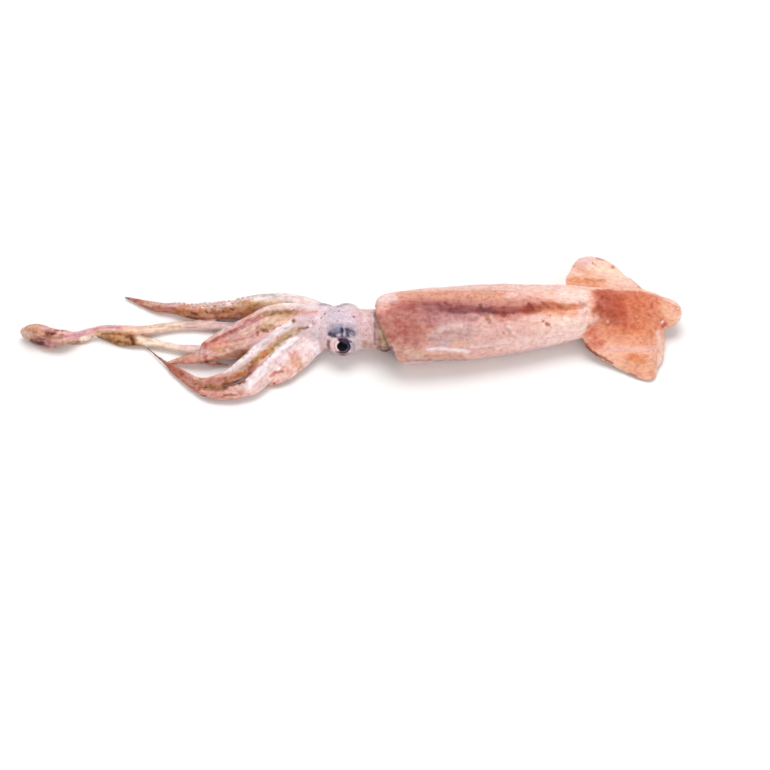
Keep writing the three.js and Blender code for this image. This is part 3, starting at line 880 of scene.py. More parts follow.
# %% Strokes on the mantle
BODY_STROKES = [
    ("#e9cccb", 6, 0.8, [(383, 299), (394, 296)]),
    ("#e8cac6", 3, 0.65, [(395, 289), (480, 287), (562, 288)]),
    ("#f2cabf", 4, 0.6, [(510, 292), (545, 293)]),
    ("#d4977b", 4, 0.6, [(400, 296), (470, 296), (500, 295)]),
    ("#bd7a6e", 5, 0.6, [(425, 303), (480, 304), (540, 303)]),
    ("#a4605c", 6.5, 0.45, [(428, 309), (480, 310)]),
    ("#bb6e5a", 5, 0.45, [(496, 308), (562, 307)]),
    ("#bd7068", 3, 0.5, [(392, 303), (424, 304)]),
    ("#a85d55", 10, 0.6, [(401, 315), (432, 318)]),
    ("#b87064", 8, 0.65, [(400, 330), (418, 333)]),
    ("#c48779", 8, 0.55, [(422, 328), (434, 338)]),
    ("#8f4d50", 3.6, 0.6, [(424, 307), (448, 308)]),
    ("#83393a", 3.8, 0.7, [(440, 309), (480, 310), (501, 311)]),
    ("#5c181c", 2.4, 0.6, [(450, 310), (466, 312)]),
    ("#631616", 2.2, 0.65, [(478, 309), (490, 310)]),
    ("#6c2020", 1.5, 0.6, [(445, 303), (451, 306)]),
    ("#4e1212", 1.4, 0.65, [(480, 305), (484, 311)]),
    ("#561512", 1.4, 0.6, [(492, 312), (498, 313)]),
    ("#d9a79a", 1.6, 0.5, [(466, 315), (476, 314)]),
    ("#98623f", 2.4, 0.6, [(485, 314), (490, 322)]),
    ("#96392c", 3.8, 0.8, [(500, 311), (528, 309)]),
    ("#6d2320", 2, 0.75, [(505, 312), (513, 312)]),
    ("#8a3424", 3, 0.75, [(527, 308), (538, 307)]),
    ("#6e2010", 1.5, 0.6, [(529, 304), (535, 310)]),
    ("#ac5229", 3.4, 0.75, [(538, 308), (552, 305)]),
    ("#84340f", 1.5, 0.6, [(543, 303), (548, 307)]),
    ("#bd6a44", 3, 0.75, [(552, 306), (574, 307)]),
    ("#8e3c16", 1.5, 0.6, [(558, 307), (567, 309)]),
    ("#cb7d60", 3, 0.75, [(567, 307), (583, 306)]),
    ("#e08a62", 4, 0.5, [(549, 312), (575, 313)]),
    ("#a06a70", 6, 0.5, [(430, 318), (446, 321)]),
    ("#ab7a84", 4, 0.5, [(455, 318), (478, 318)]),
    ("#c38172", 4, 0.5, [(496, 319), (520, 317)]),
    # Pale patches on the near flank, partly pale skin and partly painted sheen; the light curve is a
    # painted highlight.
    ("#c09c98", 9, 0.75, [(438, 335), (468, 331)]),
    ("#e8d2d0", 3, 0.45, [(440, 330), (450, 326), (464, 326)]),
    ("#dbb0a9", 9, 0.5, [(485, 333), (500, 334)]),
    ("#cbb4c3", 3, 0.6, [(440, 344), (448, 344)]),
    ("#dcb393", 2.6, 0.6, [(455, 343), (465, 343)]),
    # Painted highlights: thin pale lines of wet sheen along the lower flank.
    ("#f7e8ec", 1.7, 0.8, [(428, 350), (440, 348.5), (458, 350), (470, 352)]),
    ("#f2dde0", 1.7, 0.65, [(472, 347), (492, 345)]),
    ("#cfa094", 3.4, 0.8, [(405, 356), (460, 357)]),
    ("#d0916f", 1.8, 0.6, [(425, 356), (460, 356)]),
    ("#8d8a9c", 1.4, 0.6, [(405, 360.5), (470, 360)]),
    ("#cd9688", 5.5, 0.8, [(399, 343), (404, 358)]),
    ("#e0bfa8", 3.4, 0.6, [(406, 353), (420, 354)]),
    # Painted shade: a dark line at the lower edge of the mantle's mouth.
    ("#54505f", 1.7, 0.85, [(391, 347), (396, 361)]),
    ("#b98f78", 2.4, 0.65, [(382, 327), (388, 340)]),
    ("#a8584e", 1.7, 0.7, [(543, 321)], [(546, 324), (550, 325)]),
    ("#a8584e", 1.6, 0.6, [(504, 333)], [(514, 341.5)]),
    ("#a8584e", 1.5, 0.6, [(545, 342)], [(570, 328.5)]),
    # A wrinkle, drawn as a darker line with a paler one beside it: painted shade and highlight.
    ("#c99a92", 1.5, 0.5, [(505, 326), (512, 336), (522, 344)]),
    ("#f8e2dd", 1.4, 0.5, [(508, 326), (516, 335), (526, 343)]),
    # Painted light: pale paint that lifts the shade on the lower rear flank, which curves away.
    ("#f6d8d4", 5, 0.6, [(500, 345), (540, 340), (572, 333)]),
    ("#d5b9c9", 2, 0.6, [(500, 356), (550, 346), (580, 341)]),
    ("#f9dccf", 5, 0.7, [(560, 294), (586, 297)]),
    ("#dd8f6c", 6, 0.8, [(652, 299), (656, 321)]),
    ("#e59f7e", 5, 0.65, [(662, 301), (665, 319)]),
    ("#f8dad1", 7, 0.6, [(568, 324), (580, 331)]),
    ("#b98794", 1.8, 0.6, [(580, 303), (592, 308)]),
    ("#c98f97", 2, 0.5, [(582, 315), (588, 312), (594, 316), (593, 322)]),
    # Painted highlight: a small white glint on the pale skin at the front of the near fin.
    ("#f9ece0", 1.6, 0.8, [(588, 316), (588, 324)]),
]
NEAR_FIN_STROKES = [
    ("#ad4f36", 13, 0.95, [(602, 298), (607, 311)]),
    ("#b9553a", 8, 0.75, [(618, 298), (621, 320)]),
    ("#d07550", 8, 0.65, [(634, 300), (638, 322)]),
    ("#dd8a68", 7, 0.7, [(649, 299), (653, 325)]),
    ("#f3cdbf", 5.5, 0.85, [(587, 290), (588, 306), (587, 322)]),
    ("#8f3d2c", 3.6, 0.6, [(598, 303), (600, 310)]),
    ("#a64b34", 3, 0.5, [(613, 314), (617, 324)]),
    ("#a33c26", 2, 0.5, [(604, 291), (608, 298)]),
    ("#8a3020", 1.6, 0.5, [(598, 301), (599, 308)]),
    ("#cb6c4c", 5, 0.7, [(617, 329), (634, 329)]),
    ("#de8862", 6, 0.8, [(604, 332), (645, 335)]),
    ("#e9a585", 6, 0.8, [(622, 342), (650, 342)]),
    ("#d97e64", 7, 0.8, [(590, 330), (596, 343)]),
    ("#eebcae", 3.2, 0.8, [(607, 348), (655, 349)]),
    ("#e5a687", 9, 0.85, [(628, 364), (652, 372)]),
    ("#dd8458", 3.5, 0.75, [(630, 358), (645, 359)]),
    ("#f3c4b2", 1.6, 0.8, [(590, 338)]),
    ("#f0bda8", 1.6, 0.7, [(608, 322)]),
    ("#7c3d2c", 2.6, 0.85, [(584, 344), (590, 351), (596, 355)]),
    ("#8f5242", 1.5, 0.75, [(592, 353), (603, 358), (612, 363)]),
    ("#9a5a48", 1.5, 0.7, [(628, 374), (636, 376)]),
    ("#f3cdc4", 2.6, 0.75, [(658, 332), (661, 352), (657, 374)]),
    ("#c25058", 3, 0.7, [(664, 325)]),
    ("#fbeeee", 1.4, 0.9, [(662, 322)]),
    ("#a04a38", 1.5, 0.7, [(652, 304), (652, 307)], [(648, 315)]),
    ("#f0bea2", 8, 0.85, [(666, 306), (674, 316)]),
    ("#efdcd8", 1.8, 0.7, [(668, 298), (679, 304), (683, 312), (678, 322)]),
    # Painted highlight: a pale line along the crisp fold where the near fin turns over the back.
    ("#f7dacf", 1.5, 0.75, [(572, 289), (600, 288), (641, 290)]),
]
FAR_FIN_STROKES = [
    ("#e7bcc0", 5, 0.7, [(575, 262), (588, 262)]),
    ("#fcd9bf", 5, 0.75, [(595, 267), (612, 269), (624, 276)]),
    ("#df946b", 6, 0.8, [(570, 282), (603, 283)]),
    ("#cf8058", 1.6, 0.6, [(584, 280), (605, 281)]),
    ("#e2a283", 4, 0.6, [(576, 266), (590, 273)]),
    ("#f6ddd6", 2, 0.6, [(574, 260), (570, 268)]),
    ("#b5695c", 1, 0.7, [(597, 258), (603, 260)], [(612, 267), (614, 268)]),
    ("#c98a74", 1, 0.6, [(592, 264), (596, 265)]),
    ("#f6d5c6", 1.6, 0.6, [(596, 272), (622, 279)]),
    ("#d9a0a0", 1, 0.6, [(622, 272), (640, 286)]),
    ("#e0a08c", 2, 0.6, [(570, 286), (640, 288)]),
    ("#f3c6b4", 5, 0.6, [(606, 284), (636, 286)]),
    ("#b06a55", 1.4, 0.7, [(574, 266)], [(593, 263)], [(600, 259)], [(613, 267)], [(639, 286)]),
]
share = facing_viewer(mantle)
lay_strokes(coat, raw, share * (1 - near_fin) * (1 - far_fin), BODY_STROKES)
lay_strokes(coat, raw, share * near_fin, NEAR_FIN_STROKES)
lay_strokes(coat, raw, share * far_fin, FAR_FIN_STROKES)
flow = raw[:, [1, 2, 0]] * (1, 1, 0.25)
save_coat(mantle, coat, flow, 0.35 + 0.65 * band(degrees, 95, 45) * smooth(u, 0.7, 0.3))
print("mantle painted")

# %% [markdown]
# On a limb the places are the share of its length and the roll round it: 0 on the side away
# from the viewer, 90 on top and 180 towards the viewer. Each vertex belongs to the limb that
# it is nearest to, counted in that limb's own thickness.

# %% Limb places
def limb_places(points):
    best = np.full(len(points), 1e9)
    owner = np.full(len(points), -1)
    share = np.zeros(len(points))
    roll = np.zeros(len(points))
    for number, limb in enumerate(limbs):
        line = limb["line"]
        index, _ = nearest(line, points)
        offset = points - line[index]
        across = (offset * limb["side"][index]).sum(axis=1) / limb["wide"][index]
        out = (offset * limb["top"][index]).sum(axis=1) / (limb["wide"] * limb["flat"])[index]
        beyond = np.abs((offset * unit(np.gradient(line, axis=0))[index]).sum(axis=1))
        reach = np.hypot(across, out) + beyond / 3
        nearer = reach < best
        best = np.where(nearer, reach, best)
        owner = np.where(nearer, number, owner)
        share = np.where(nearer, index / (len(line) - 1), share)
        turned = np.arctan2(out, across) + limb["turn"][index]
        roll = np.where(nearer, np.degrees(turned) % 360, roll)
    return best, owner, share, roll


def ball_reach(points, form):
    """1 on the surface of a ball or egg, less inside it and more outside."""
    return np.linalg.norm((points - np.array(form["at"])) / np.array(form["half"]), axis=1)


raw = points_of(head)
reach, owner, along, roll = limb_places(raw)
skull = np.minimum(ball_reach(raw, SKULL), ball_reach(raw, CROWN))
for eye in EYES.values():
    skull = np.minimum(skull, np.linalg.norm(raw - np.array(eye["bulge"]), axis=1) / EYE_BULGE)
head_part = smooth(raw[:, 0], -118, -108) * smooth(reach - skull, -0.15, 0.1)
head_part = np.maximum(head_part, smooth(raw[:, 0], -100, -96))
print("limb places done,", int(head_part.sum()), "vertices on the head")


# %% [markdown]
# Each limb has a colour at its root, one at its tip and bands in between: a colour, the roll
# where the band is strongest, its half width in degrees, its stretch and its strength.

# %% Broad fields of colour on the head and limbs
LIMB_COLOURS = {
    "far_upper": ("#ead3cf", "#b5705a", [("#b0734f", 165, 55, 0.3, 0.9, 0.85),
                                         ("#e0bcb6", 40, 30, 0.3, 0.8, 0.6)]),
    "top_far": ("#e6c6c2", "#b96f64", [("#b5706a", 170, 45, 0.2, 0.9, 0.6)]),
    "top_near": ("#dcb2b0", "#d39a88", [("#a97c50", 170, 28, 0.35, 0.8, 0.6),
                                        ("#b08a58", 60, 22, 0.05, 0.5, 0.6)]),
    "near_upper": ("#e6c9c6", "#a9614d", [("#f0e5ea", 75, 28, 0.1, 0.5, 0.7),
                                          ("#a9814f", 135, 25, 0.08, 0.6, 0.7),
                                          ("#a8674a", 150, 50, 0.45, 1.0, 0.6)]),
    "near_lower": ("#ecd2d2", "#c98878", [("#f1e6ea", 90, 40, 0.1, 0.7, 0.6)]),
    "belly_near": ("#eed0cb", "#dba392", [("#f0e6ea", 90, 35, 0.0, 0.6, 0.5)]),
    "far_lower": ("#e2bfb8", "#cf9c90", []),
    "belly_far": ("#e2bfb8", "#cf9c90", []),
    "tentacle_far": ("#e8cac0", "#cf9f90", [("#b07a5c", 200, 60, 0.76, 1.0, 0.6),
                                            ("#cf9fa0", 60, 50, 0.6, 1.0, 0.6)]),
    "tentacle_near": ("#efd8cc", "#b98a5e", [("#a8743f", 120, 90, 0.78, 1.0, 0.8)]),
}
coat = np.tile(srgb("#e0cad0"), (len(raw), 1))
glaze(coat, "#d9b9b6", smooth(raw[:, 0], -86, -76))
glaze(coat, "#b48f7a", smooth(raw[:, 0], -75, -71))
warped = roll + 14 * grain(raw, 5, 50)
for number, limb in enumerate(limbs):
    mine = (owner == number) * (1 - head_part)
    root, tip, bands = LIMB_COLOURS[limb["name"]]
    glaze(coat, colours_along(along, [(0.15, root), (0.45, root), (0.9, tip)]), mine)
    for colour, centre, half, start, stop, strength in bands:
        turn_away = (warped - centre + 180) % 360 - 180
        stretch = smooth(along, start - 0.05, start + 0.08) * smooth(along, stop + 0.05, stop - 0.05)
        glaze(coat, colour, strength * band(turn_away, 0, half) * stretch * mine)
print("fields laid on the limbs")

# %% Strokes on the head and limbs
HEAD_STROKES = [
    ("#cdbccc", 9, 0.75, [(333, 314), (346, 320)]),
    ("#d9b7bc", 8, 0.7, [(358, 315), (365, 325)]),
    ("#cfa9ad", 6, 0.75, [(300, 314), (311, 321)]),
    ("#c9a9ae", 3.4, 0.6, [(371, 314), (371, 328)]),
    ("#8f93a6", 1.8, 0.7, [(321, 303.5), (333, 304.5)]),
    ("#9298ac", 1.8, 0.7, [(338, 305.5), (347, 304.5)]),
    ("#b9b6c0", 2.2, 0.6, [(348, 305), (358, 305)]),
    ("#5d4650", 1.1, 0.8, [(325, 314)]),
    ("#5d4650", 1, 0.8, [(337, 321)]),
    ("#5d4650", 1.1, 0.8, [(353.5, 317.5)]),
    ("#5d4650", 0.9, 0.6, [(339, 311)], [(321, 318)]),
    ("#9c93ab", 6, 0.7, [(333, 330), (350, 331)]),
    ("#62627f", 3.2, 0.7, [(331.5, 332), (341, 330.5)]),
    ("#2c2f48", 2, 0.75, [(330, 334), (334.5, 336)]),
    ("#7e8db2", 2.2, 0.8, [(336, 331), (339, 328.5)]),
    ("#2b2d45", 1.7, 0.8, [(342, 329), (342, 335)]),
    ("#2c2d48", 2.3, 0.75, [(346.5, 330), (347.5, 335)]),
    ("#5c586e", 2.4, 0.65, [(349, 331.5), (355, 333.5)]),
    ("#4c4a60", 1.6, 0.6, [(335, 337), (349, 337)]),
    ("#b9abc8", 0.8, 0.85, [(344.4, 326), (344.4, 336)]),
    ("#d9cdd2", 5, 0.7, [(354, 341), (356, 348)]),
    ("#f5d6db", 2.6, 0.9, [(335, 340.5), (332.5, 345), (334, 350)]),
    ("#b3a3b2", 2.2, 0.7, [(353, 344), (353, 350)]),
    ("#4f3850", 1.2, 0.8, [(338, 339.5), (346, 339.5), (351, 342)]),
    ("#9a5a52", 1.7, 0.8, [(328.5, 341), (328.5, 351)]),
    # Painted shade: a darker mauve-grey band and a dark line along the head's lower edge.
    ("#826f77", 2, 0.6, [(336, 353.5), (350, 354)]),
    ("#4d3f4a", 1.1, 0.75, [(330, 355), (344, 356), (358, 354)]),
    ("#dcb4b8", 4, 0.7, [(362, 334), (371, 334)]),
    ("#bd9084", 3.2, 0.6, [(364, 345), (372, 346)]),
    # Painted shade: a darker line in the fold between the neck and the collar.
    ("#96707e", 1.2, 0.7, [(375, 313), (375, 344)]),
    ("#b8997a", 2.4, 0.7, [(380, 329), (385, 333)]),
    # Painted highlight: a pale beige spot on the collar.
    ("#dcc3a8", 2.2, 0.75, [(380, 332), (383, 337)]),
    ("#9a7c58", 2.6, 0.75, [(384, 337), (388, 344)]),
    # Under the collar: brown, partly the funnel's own colour and partly painted shade, then a dark
    # line of painted shade.
    ("#7f4f3f", 2.2, 0.8, [(379, 348), (391, 348.5)]),
    ("#452c28", 1.4, 0.85, [(380, 351), (393, 351)]),
]
ARM_STROKES = [
    ("#f0e4e0", 5, 0.7, [(255, 298), (283, 302), (310, 305)]),
    ("#9a8a88", 1.8, 0.7, [(123, 297.5), (130, 299.5)]),
    ("#c58672", 3, 0.8, [(131, 301), (148, 304)]),
    ("#bb7c68", 2.8, 0.75, [(152, 308), (166, 309)]),
    ("#d8ab98", 2.4, 0.75, [(146, 303), (163, 306)]),
    ("#bb8076", 4, 0.7, [(162, 309), (180, 311)]),
    ("#d9b3bf", 1.5, 0.6, [(165, 305.5), (182, 305.5)]),
    ("#c48661", 6.5, 0.9, [(180, 311.5), (210, 313), (247, 312)]),
    ("#7d4630", 2, 0.75, [(188, 317.5), (202, 318.5)]),
    ("#95583e", 1.5, 0.6, [(204, 319), (236, 318.5)]),
    ("#b07048", 2, 0.5, [(215, 314), (232, 313)]),
    ("#d6b6b4", 2.2, 0.75, [(199, 305), (222, 305), (238, 302)]),
    ("#f0dcd6", 1.4, 0.75, [(202, 306.5), (205, 306)]),
    ("#f0dcd6", 1.3, 0.75, [(210, 307), (213, 306)]),
    ("#f0dcd6", 1.4, 0.75, [(218, 304), (221, 305)]),
    ("#f0dcd6", 1.5, 0.75, [(227, 304), (230, 303)]),
    ("#f0dcd6", 1.4, 0.7, [(236, 303), (239, 301.5)]),
    ("#a8623c", 1.4, 0.6, [(214.5, 305), (215, 309)], [(233, 303), (234, 307)]),
    ("#dcaaa0", 1.8, 0.7, [(186, 308), (198, 309)]),
    ("#d9a898", 1.7, 0.6, [(205, 314), (212, 315)]),
    ("#d9a898", 1.6, 0.55, [(221, 315), (229, 314.5)]),
    ("#74402c", 1.3, 0.7, [(191, 313), (196, 314)]),
    ("#74402c", 1.3, 0.65, [(214, 318), (218, 317)]),
    ("#7c4630", 1.3, 0.6, [(236, 314), (241, 313)]),
    ("#5d3528", 1.1, 0.8, [(207, 312)]),
    ("#5d3528", 1.2, 0.8, [(212, 309.5), (215, 310)]),
    ("#5d3528", 1.1, 0.8, [(223, 311)]),
    ("#5d3528", 1.2, 0.8, [(230, 308.5), (233, 309)]),
    ("#6a3e2a", 1, 0.7, [(238, 311.5)]),
    ("#c4935c", 3, 0.75, [(238, 303), (260, 304)]),
    ("#b9773f", 2.2, 0.7, [(238, 311), (252, 309)]),
    ("#e2bc94", 3.2, 0.7, [(262, 303), (280, 303)]),
    ("#b3b0bb", 1.3, 0.6, [(245, 295.5), (275, 295)]),
    ("#d0a09c", 8, 0.75, [(226, 342), (262, 335)]),
    ("#e4bfa0", 3.3, 0.7, [(262, 321), (292, 320)]),
    ("#b08e60", 2.6, 0.7, [(259, 314), (280, 312), (297, 313)]),
    ("#a98458", 3, 0.7, [(258, 329), (273, 327)]),
    ("#7c5034", 1.3, 0.7, [(261, 329), (268, 331)]),
    ("#a0563f", 1.6, 0.7, [(257, 328), (258, 335)]),
    ("#a06a44", 2.8, 0.75, [(243, 352), (254, 351)]),
    ("#b98065", 2.6, 0.7, [(231, 350), (244, 351)]),
    ("#c79272", 2.4, 0.7, [(224, 354), (242, 356)]),
    # Painted highlight: a pale line along the top of the thin arm's ridge.
    ("#e2b4aa", 2, 0.85, [(262, 309), (250, 316), (238, 325), (222, 332), (207, 341)]),
    # Under that ridge: a darker line, partly the arm's own orange and partly painted shade in the
    # gap below.
    ("#ca9080", 2.8, 0.75, [(252, 313), (240, 321), (226, 328)]),
    ("#d8a88c", 3, 0.6, [(228, 346), (246, 340)]),
    ("#e3bfa8", 2.4, 0.6, [(240, 333), (254, 329)]),
    ("#b97c6a", 1.3, 0.55, [(214, 346), (236, 340), (252, 337)]),
    # Painted shade, with the arm's own darker colour: a dark line under the thin arm's ridge.
    ("#ae5f58", 1.7, 0.8, [(259, 316), (245, 323), (232, 331), (220, 337), (206, 345)]),
    ("#d88f7c", 1.3, 0.7, [(295, 312), (318, 312)]),
    ("#dcc8d2", 4, 0.7, [(300, 320), (307, 321)]),
    ("#fdf6fa", 1.8, 0.85, [(311, 325.5)]),
    ("#5f3826", 1.6, 0.85, [(294, 320.5), (285, 328)]),
    ("#7d4a44", 1.1, 0.8, [(299, 329), (308, 327.5)]),
    ("#d98f78", 3.6, 0.7, [(207, 346), (226, 343)]),
    ("#c0925a", 1.2, 0.7, [(212, 352), (228, 347)]),
    ("#a8483f", 2.4, 0.8, [(204, 344), (205, 356)]),
    ("#6f3230", 1.8, 0.75, [(204, 359), (208, 363)]),
    ("#cf937e", 3, 0.8, [(166, 360), (203, 359)]),
    ("#b5655a", 1.1, 0.75, [(208, 364), (229, 365)]),
    ("#d9937c", 3, 0.75, [(276, 338), (267, 347)]),
    ("#9c8450", 2.3, 0.85, [(299, 331.5), (276, 345)]),
    ("#84683a", 1.4, 0.7, [(291, 336), (282, 342)]),
    ("#b58c4e", 3, 0.75, [(272, 350), (256, 358)]),
    ("#c4673f", 2, 0.7, [(265, 353), (262, 358)]),
    ("#a8743f", 2.6, 0.7, [(257, 360), (250, 367)]),
    ("#a9754a", 2, 0.6, [(206, 386), (226, 384)]),
    ("#a0523c", 2, 0.75, [(252, 363), (250, 370)]),
    ("#e3aab0", 1.6, 0.7, [(247, 361), (250, 364)]),
    ("#a8695a", 2.6, 0.8, [(257, 366), (249, 373)]),
    ("#a87f70", 1, 0.6, [(307, 329), (290, 338), (280, 346), (270, 356), (260, 366)]),
    ("#f2e6ec", 2.6, 0.95, [(291, 323), (280, 330), (268, 338), (256, 348), (246, 359)]),
    ("#ecd6d6", 2.6, 0.85, [(274, 338), (264, 346), (254, 355)]),
    ("#c9cfe3", 1.5, 0.6, [(258, 347)]),
    ("#e0a898", 2.4, 0.6, [(187, 377), (222, 377)]),
    ("#b56a3c", 3, 0.8, [(245, 373), (232, 377)]),
    ("#a0603f", 3, 0.75, [(226, 380), (200, 381)]),
    ("#8a5a34", 2.2, 0.75, [(226, 388), (200, 388)]),
    ("#c78270", 3.6, 0.6, [(186, 381), (200, 385)]),
    ("#d4938a", 3, 0.75, [(205, 381), (222, 381)]),
    ("#6d3f26", 2.6, 0.85, [(243, 381), (224, 386)]),
    ("#46241a", 1.6, 0.8, [(235, 382), (240, 382)]),
    ("#6b3a30", 1.4, 0.8, [(196, 384)]),
    ("#6b3a30", 1.2, 0.8, [(206, 387)]),
    ("#8d6a60", 1.4, 0.85, [(145, 346), (157, 357), (166, 364)]),
    ("#b5483c", 1.5, 0.8, [(166, 364)]),
    ("#b5614f", 4, 0.8, [(170, 369), (180, 374)]),
    ("#eec8be", 6, 0.75, [(274, 377), (292, 372)]),
    ("#dfa183", 5, 0.75, [(294, 356), (299, 366)]),
    ("#e6b2ac", 3, 0.6, [(291, 350), (300, 354)]),
    ("#eecdd0", 4, 0.7, [(302, 353), (311, 352)]),
    ("#f0e6f0", 4.5, 0.75, [(315, 342), (318, 356)]),
    # Painted light: pale paint that lifts the shade between the arms at the head's front.
    ("#f2d6d8", 4, 0.7, [(306, 333), (312, 341)]),
    ("#e9ccd0", 4, 0.8, [(290, 347), (276, 358)]),
    ("#dfc3c8", 6, 0.7, [(302, 334), (288, 346)]),
    ("#f3cfc4", 4.5, 0.7, [(282, 375), (292, 371)]),
    ("#f7ebf0", 2.4, 0.85, [(296, 339), (282, 348), (268, 362), (260, 374), (250, 387)]),
    ("#dfa08e", 1.6, 0.6, [(288, 352), (292, 358)]),
    ("#d9a298", 1.4, 0.6, [(276, 362), (282, 366)]),
    ("#e3b9b4", 1.5, 0.55, [(266, 358), (252, 372)]),
    ("#fffafc", 2, 0.8, [(252, 381), (247, 388)]),
    ("#fdf6f6", 1.4, 0.8, [(285, 362), (283, 365)], [(279, 368)]),
    ("#e5a3ad", 1.3, 0.7, [(250, 377)]),
    ("#dba39a", 3, 0.6, [(284, 370), (290, 373)]),
    ("#b3705c", 1.6, 0.75, [(271, 376), (276, 372), (283, 371.5)]),
    ("#8a4034", 1.4, 0.8, [(274, 384)]),
    ("#d39484", 4.5, 0.8, [(203, 394), (225, 395), (240, 392)]),
    ("#8a4f40", 1.3, 0.7, [(224, 395), (236, 395)]),
    ("#4f2622", 1.4, 0.8, [(201, 396), (205, 396)]),
    ("#4f2622", 1.2, 0.8, [(232, 394.5)]),
    ("#e8ccba", 2, 0.7, [(238, 388), (245, 389)]),
]
TENTACLE_STROKES = [
    ("#d8b6ad", 4, 0.75, [(182, 325), (230, 325)]),
    ("#d9b8c4", 4, 0.5, [(212, 325), (240, 324)]),
    ("#aeb2cc", 1.2, 0.6, [(213, 331), (225, 331)]),
    ("#efd6c0", 4, 0.75, [(148, 330), (180, 327)]),
    ("#c9a070", 1.2, 0.6, [(150, 327.5), (180, 326.5)]),
    ("#f6e9dc", 4, 0.85, [(140, 341), (160, 343), (183, 347)]),
    ("#d6b2b3", 4, 0.75, [(183, 347), (205, 351)]),
    ("#e6b9a8", 4, 0.8, [(93, 331), (110, 330), (145, 330)]),
    ("#d09098", 1.8, 0.75, [(92, 330.5), (102, 328), (120, 328)]),
    ("#c9806e", 1.4, 0.7, [(116, 330), (136, 333)]),
    ("#e6c49c", 1.6, 0.7, [(124, 331), (146, 331)]),
    ("#c9bcc6", 1.2, 0.6, [(103, 325.5), (126, 325)]),
    ("#b9824f", 4.5, 0.9, [(98, 336), (115, 338), (134, 341)]),
    ("#d3a270", 1.8, 0.7, [(110, 336), (129, 338)]),
    ("#eed6ba", 1.8, 0.75, [(94, 334.5), (102, 334)]),
    ("#946038", 1.5, 0.8, [(102, 334), (115, 334)]),
    ("#7c4a2e", 1.4, 0.8, [(97, 337), (101, 337.5)]),
    ("#8f5a34", 1.6, 0.8, [(103, 338), (113, 339)]),
    ("#4a2c28", 1, 0.85, [(118, 341.5), (121, 342)]),
    ("#5a3a2c", 1, 0.8, [(124, 342.5), (128, 342.5)]),
    ("#8a5c3c", 1, 0.7, [(106, 340.5), (134, 344.5)]),
    ("#5e3618", 1.9, 0.9, [(132, 338.5), (133, 343)]),
    ("#7c4e2a", 1.4, 0.8, [(126, 337), (131, 336)]),
    ("#cb9c8b", 5, 0.8, [(30, 333), (58, 338)]),
    ("#d9aca4", 5, 0.8, [(62, 336), (85, 335)]),
    ("#d4a781", 3.2, 0.85, [(26, 328), (38, 328)]),
    ("#9f6a50", 1.3, 0.8, [(24, 325.5), (27, 326.5)]),
    ("#e3b8a2", 3, 0.8, [(22, 331), (27, 335)]),
    ("#c4a886", 1.4, 0.75, [(21, 338), (30, 339)]),
    ("#e0aaa8", 2, 0.8, [(40, 327), (58, 329)]),
    ("#a87460", 1.2, 0.75, [(46, 330), (58, 330.5)]),
    ("#b5795c", 1.2, 0.8, [(28, 330), (36, 333), (45, 336)]),
    ("#b0684c", 2, 0.8, [(34, 336), (50, 336)]),
    ("#e3b090", 1.6, 0.7, [(38, 335), (46, 333.5)]),
    ("#7a4232", 1.9, 0.85, [(46, 333), (55, 333)]),
    ("#4e241c", 1.2, 0.85, [(52, 334), (55, 334)]),
    ("#8a4a3c", 1.2, 0.8, [(31, 339.5), (50, 339)]),
    ("#b88070", 2, 0.75, [(48, 340), (62, 338)]),
    ("#57404a", 1.9, 0.85, [(31, 341.5), (45, 344.5)]),
    ("#74404a", 1.5, 0.8, [(36, 343), (50, 343)]),
    ("#c88890", 2, 0.85, [(46, 343), (60, 344)]),
    ("#9a7a80", 1, 0.75, [(42, 347), (60, 347)]),
    ("#5a3030", 0.9, 0.85, [(62, 330.5), (66, 330)]),
    ("#bc8474", 2, 0.8, [(57, 333), (66, 336)]),
    ("#e3b4b2", 1.4, 0.8, [(58, 333), (68, 332.5)]),
    ("#d48e9a", 1.6, 0.85, [(66, 335.5), (80, 335), (94, 332)]),
    ("#e0b0b4", 1.5, 0.8, [(70, 332.5), (88, 331)]),
    ("#ddaaa8", 1.5, 0.8, [(64, 340), (79, 339.5)]),
    ("#ba8a5c", 1.6, 0.85, [(63, 343), (76, 343)]),
    ("#835030", 1.1, 0.85, [(76, 342.5), (80, 342)]),
    ("#efe0d2", 2.4, 0.85, [(82, 338.5), (90, 338)]),
    ("#d0ba94", 1.3, 0.75, [(80, 342.5), (90, 341.5)]),
]
share = facing_viewer(head)
for strokes in (HEAD_STROKES, ARM_STROKES, TENTACLE_STROKES):
    lay_strokes(coat, raw, share, strokes)
around = np.radians(roll)
flow = np.column_stack([3.5 * np.cos(around), 3.5 * np.sin(around), 25 * along + 40 * owner])
flow = blend(flow, raw, head_part[:, None])
save_coat(head, coat, flow, 0.3 + 0.5 * head_part)
print("head and limbs painted")

# %% [markdown]
# The eyeball carries a round black pupil, a blue-black half ring towards the tail and a
# pinkish white crescent towards the arms. Its colours follow the angle from the pupil.

# %% Paint the eyeballs
for name, eye in EYES.items():
    ball = eyeballs[name]
    out = unit(points_of(ball) - np.array(eye["ball"]))
    gaze = np.array(eye["pupil"].normalized())
    rise = unit(np.array([0, 0, 1.0]) - gaze * gaze[2])
    away = EYEBALL * np.arccos(np.clip(out @ gaze, -1, 1))
    round_it = np.degrees(np.arctan2(out @ rise, out[:, 0]))
    coat = np.tile(srgb("#6a5668"), (len(out), 1))
    glaze(coat, "#3c3a55", smooth(np.abs(round_it - 30), 75, 45))
    glaze(coat, "#43304a", smooth(np.abs(round_it - 115), 30, 15))
    glaze(coat, "#ffe2e6", smooth(np.abs(np.abs(round_it) - 175), 58, 38) * smooth(away, 2.6, 3.1))
    glaze(coat, "#030306", smooth(away, 3.3, 2.9))
    save_coat(ball, coat, points_of(ball), 0 * away)
print("eyeballs painted")

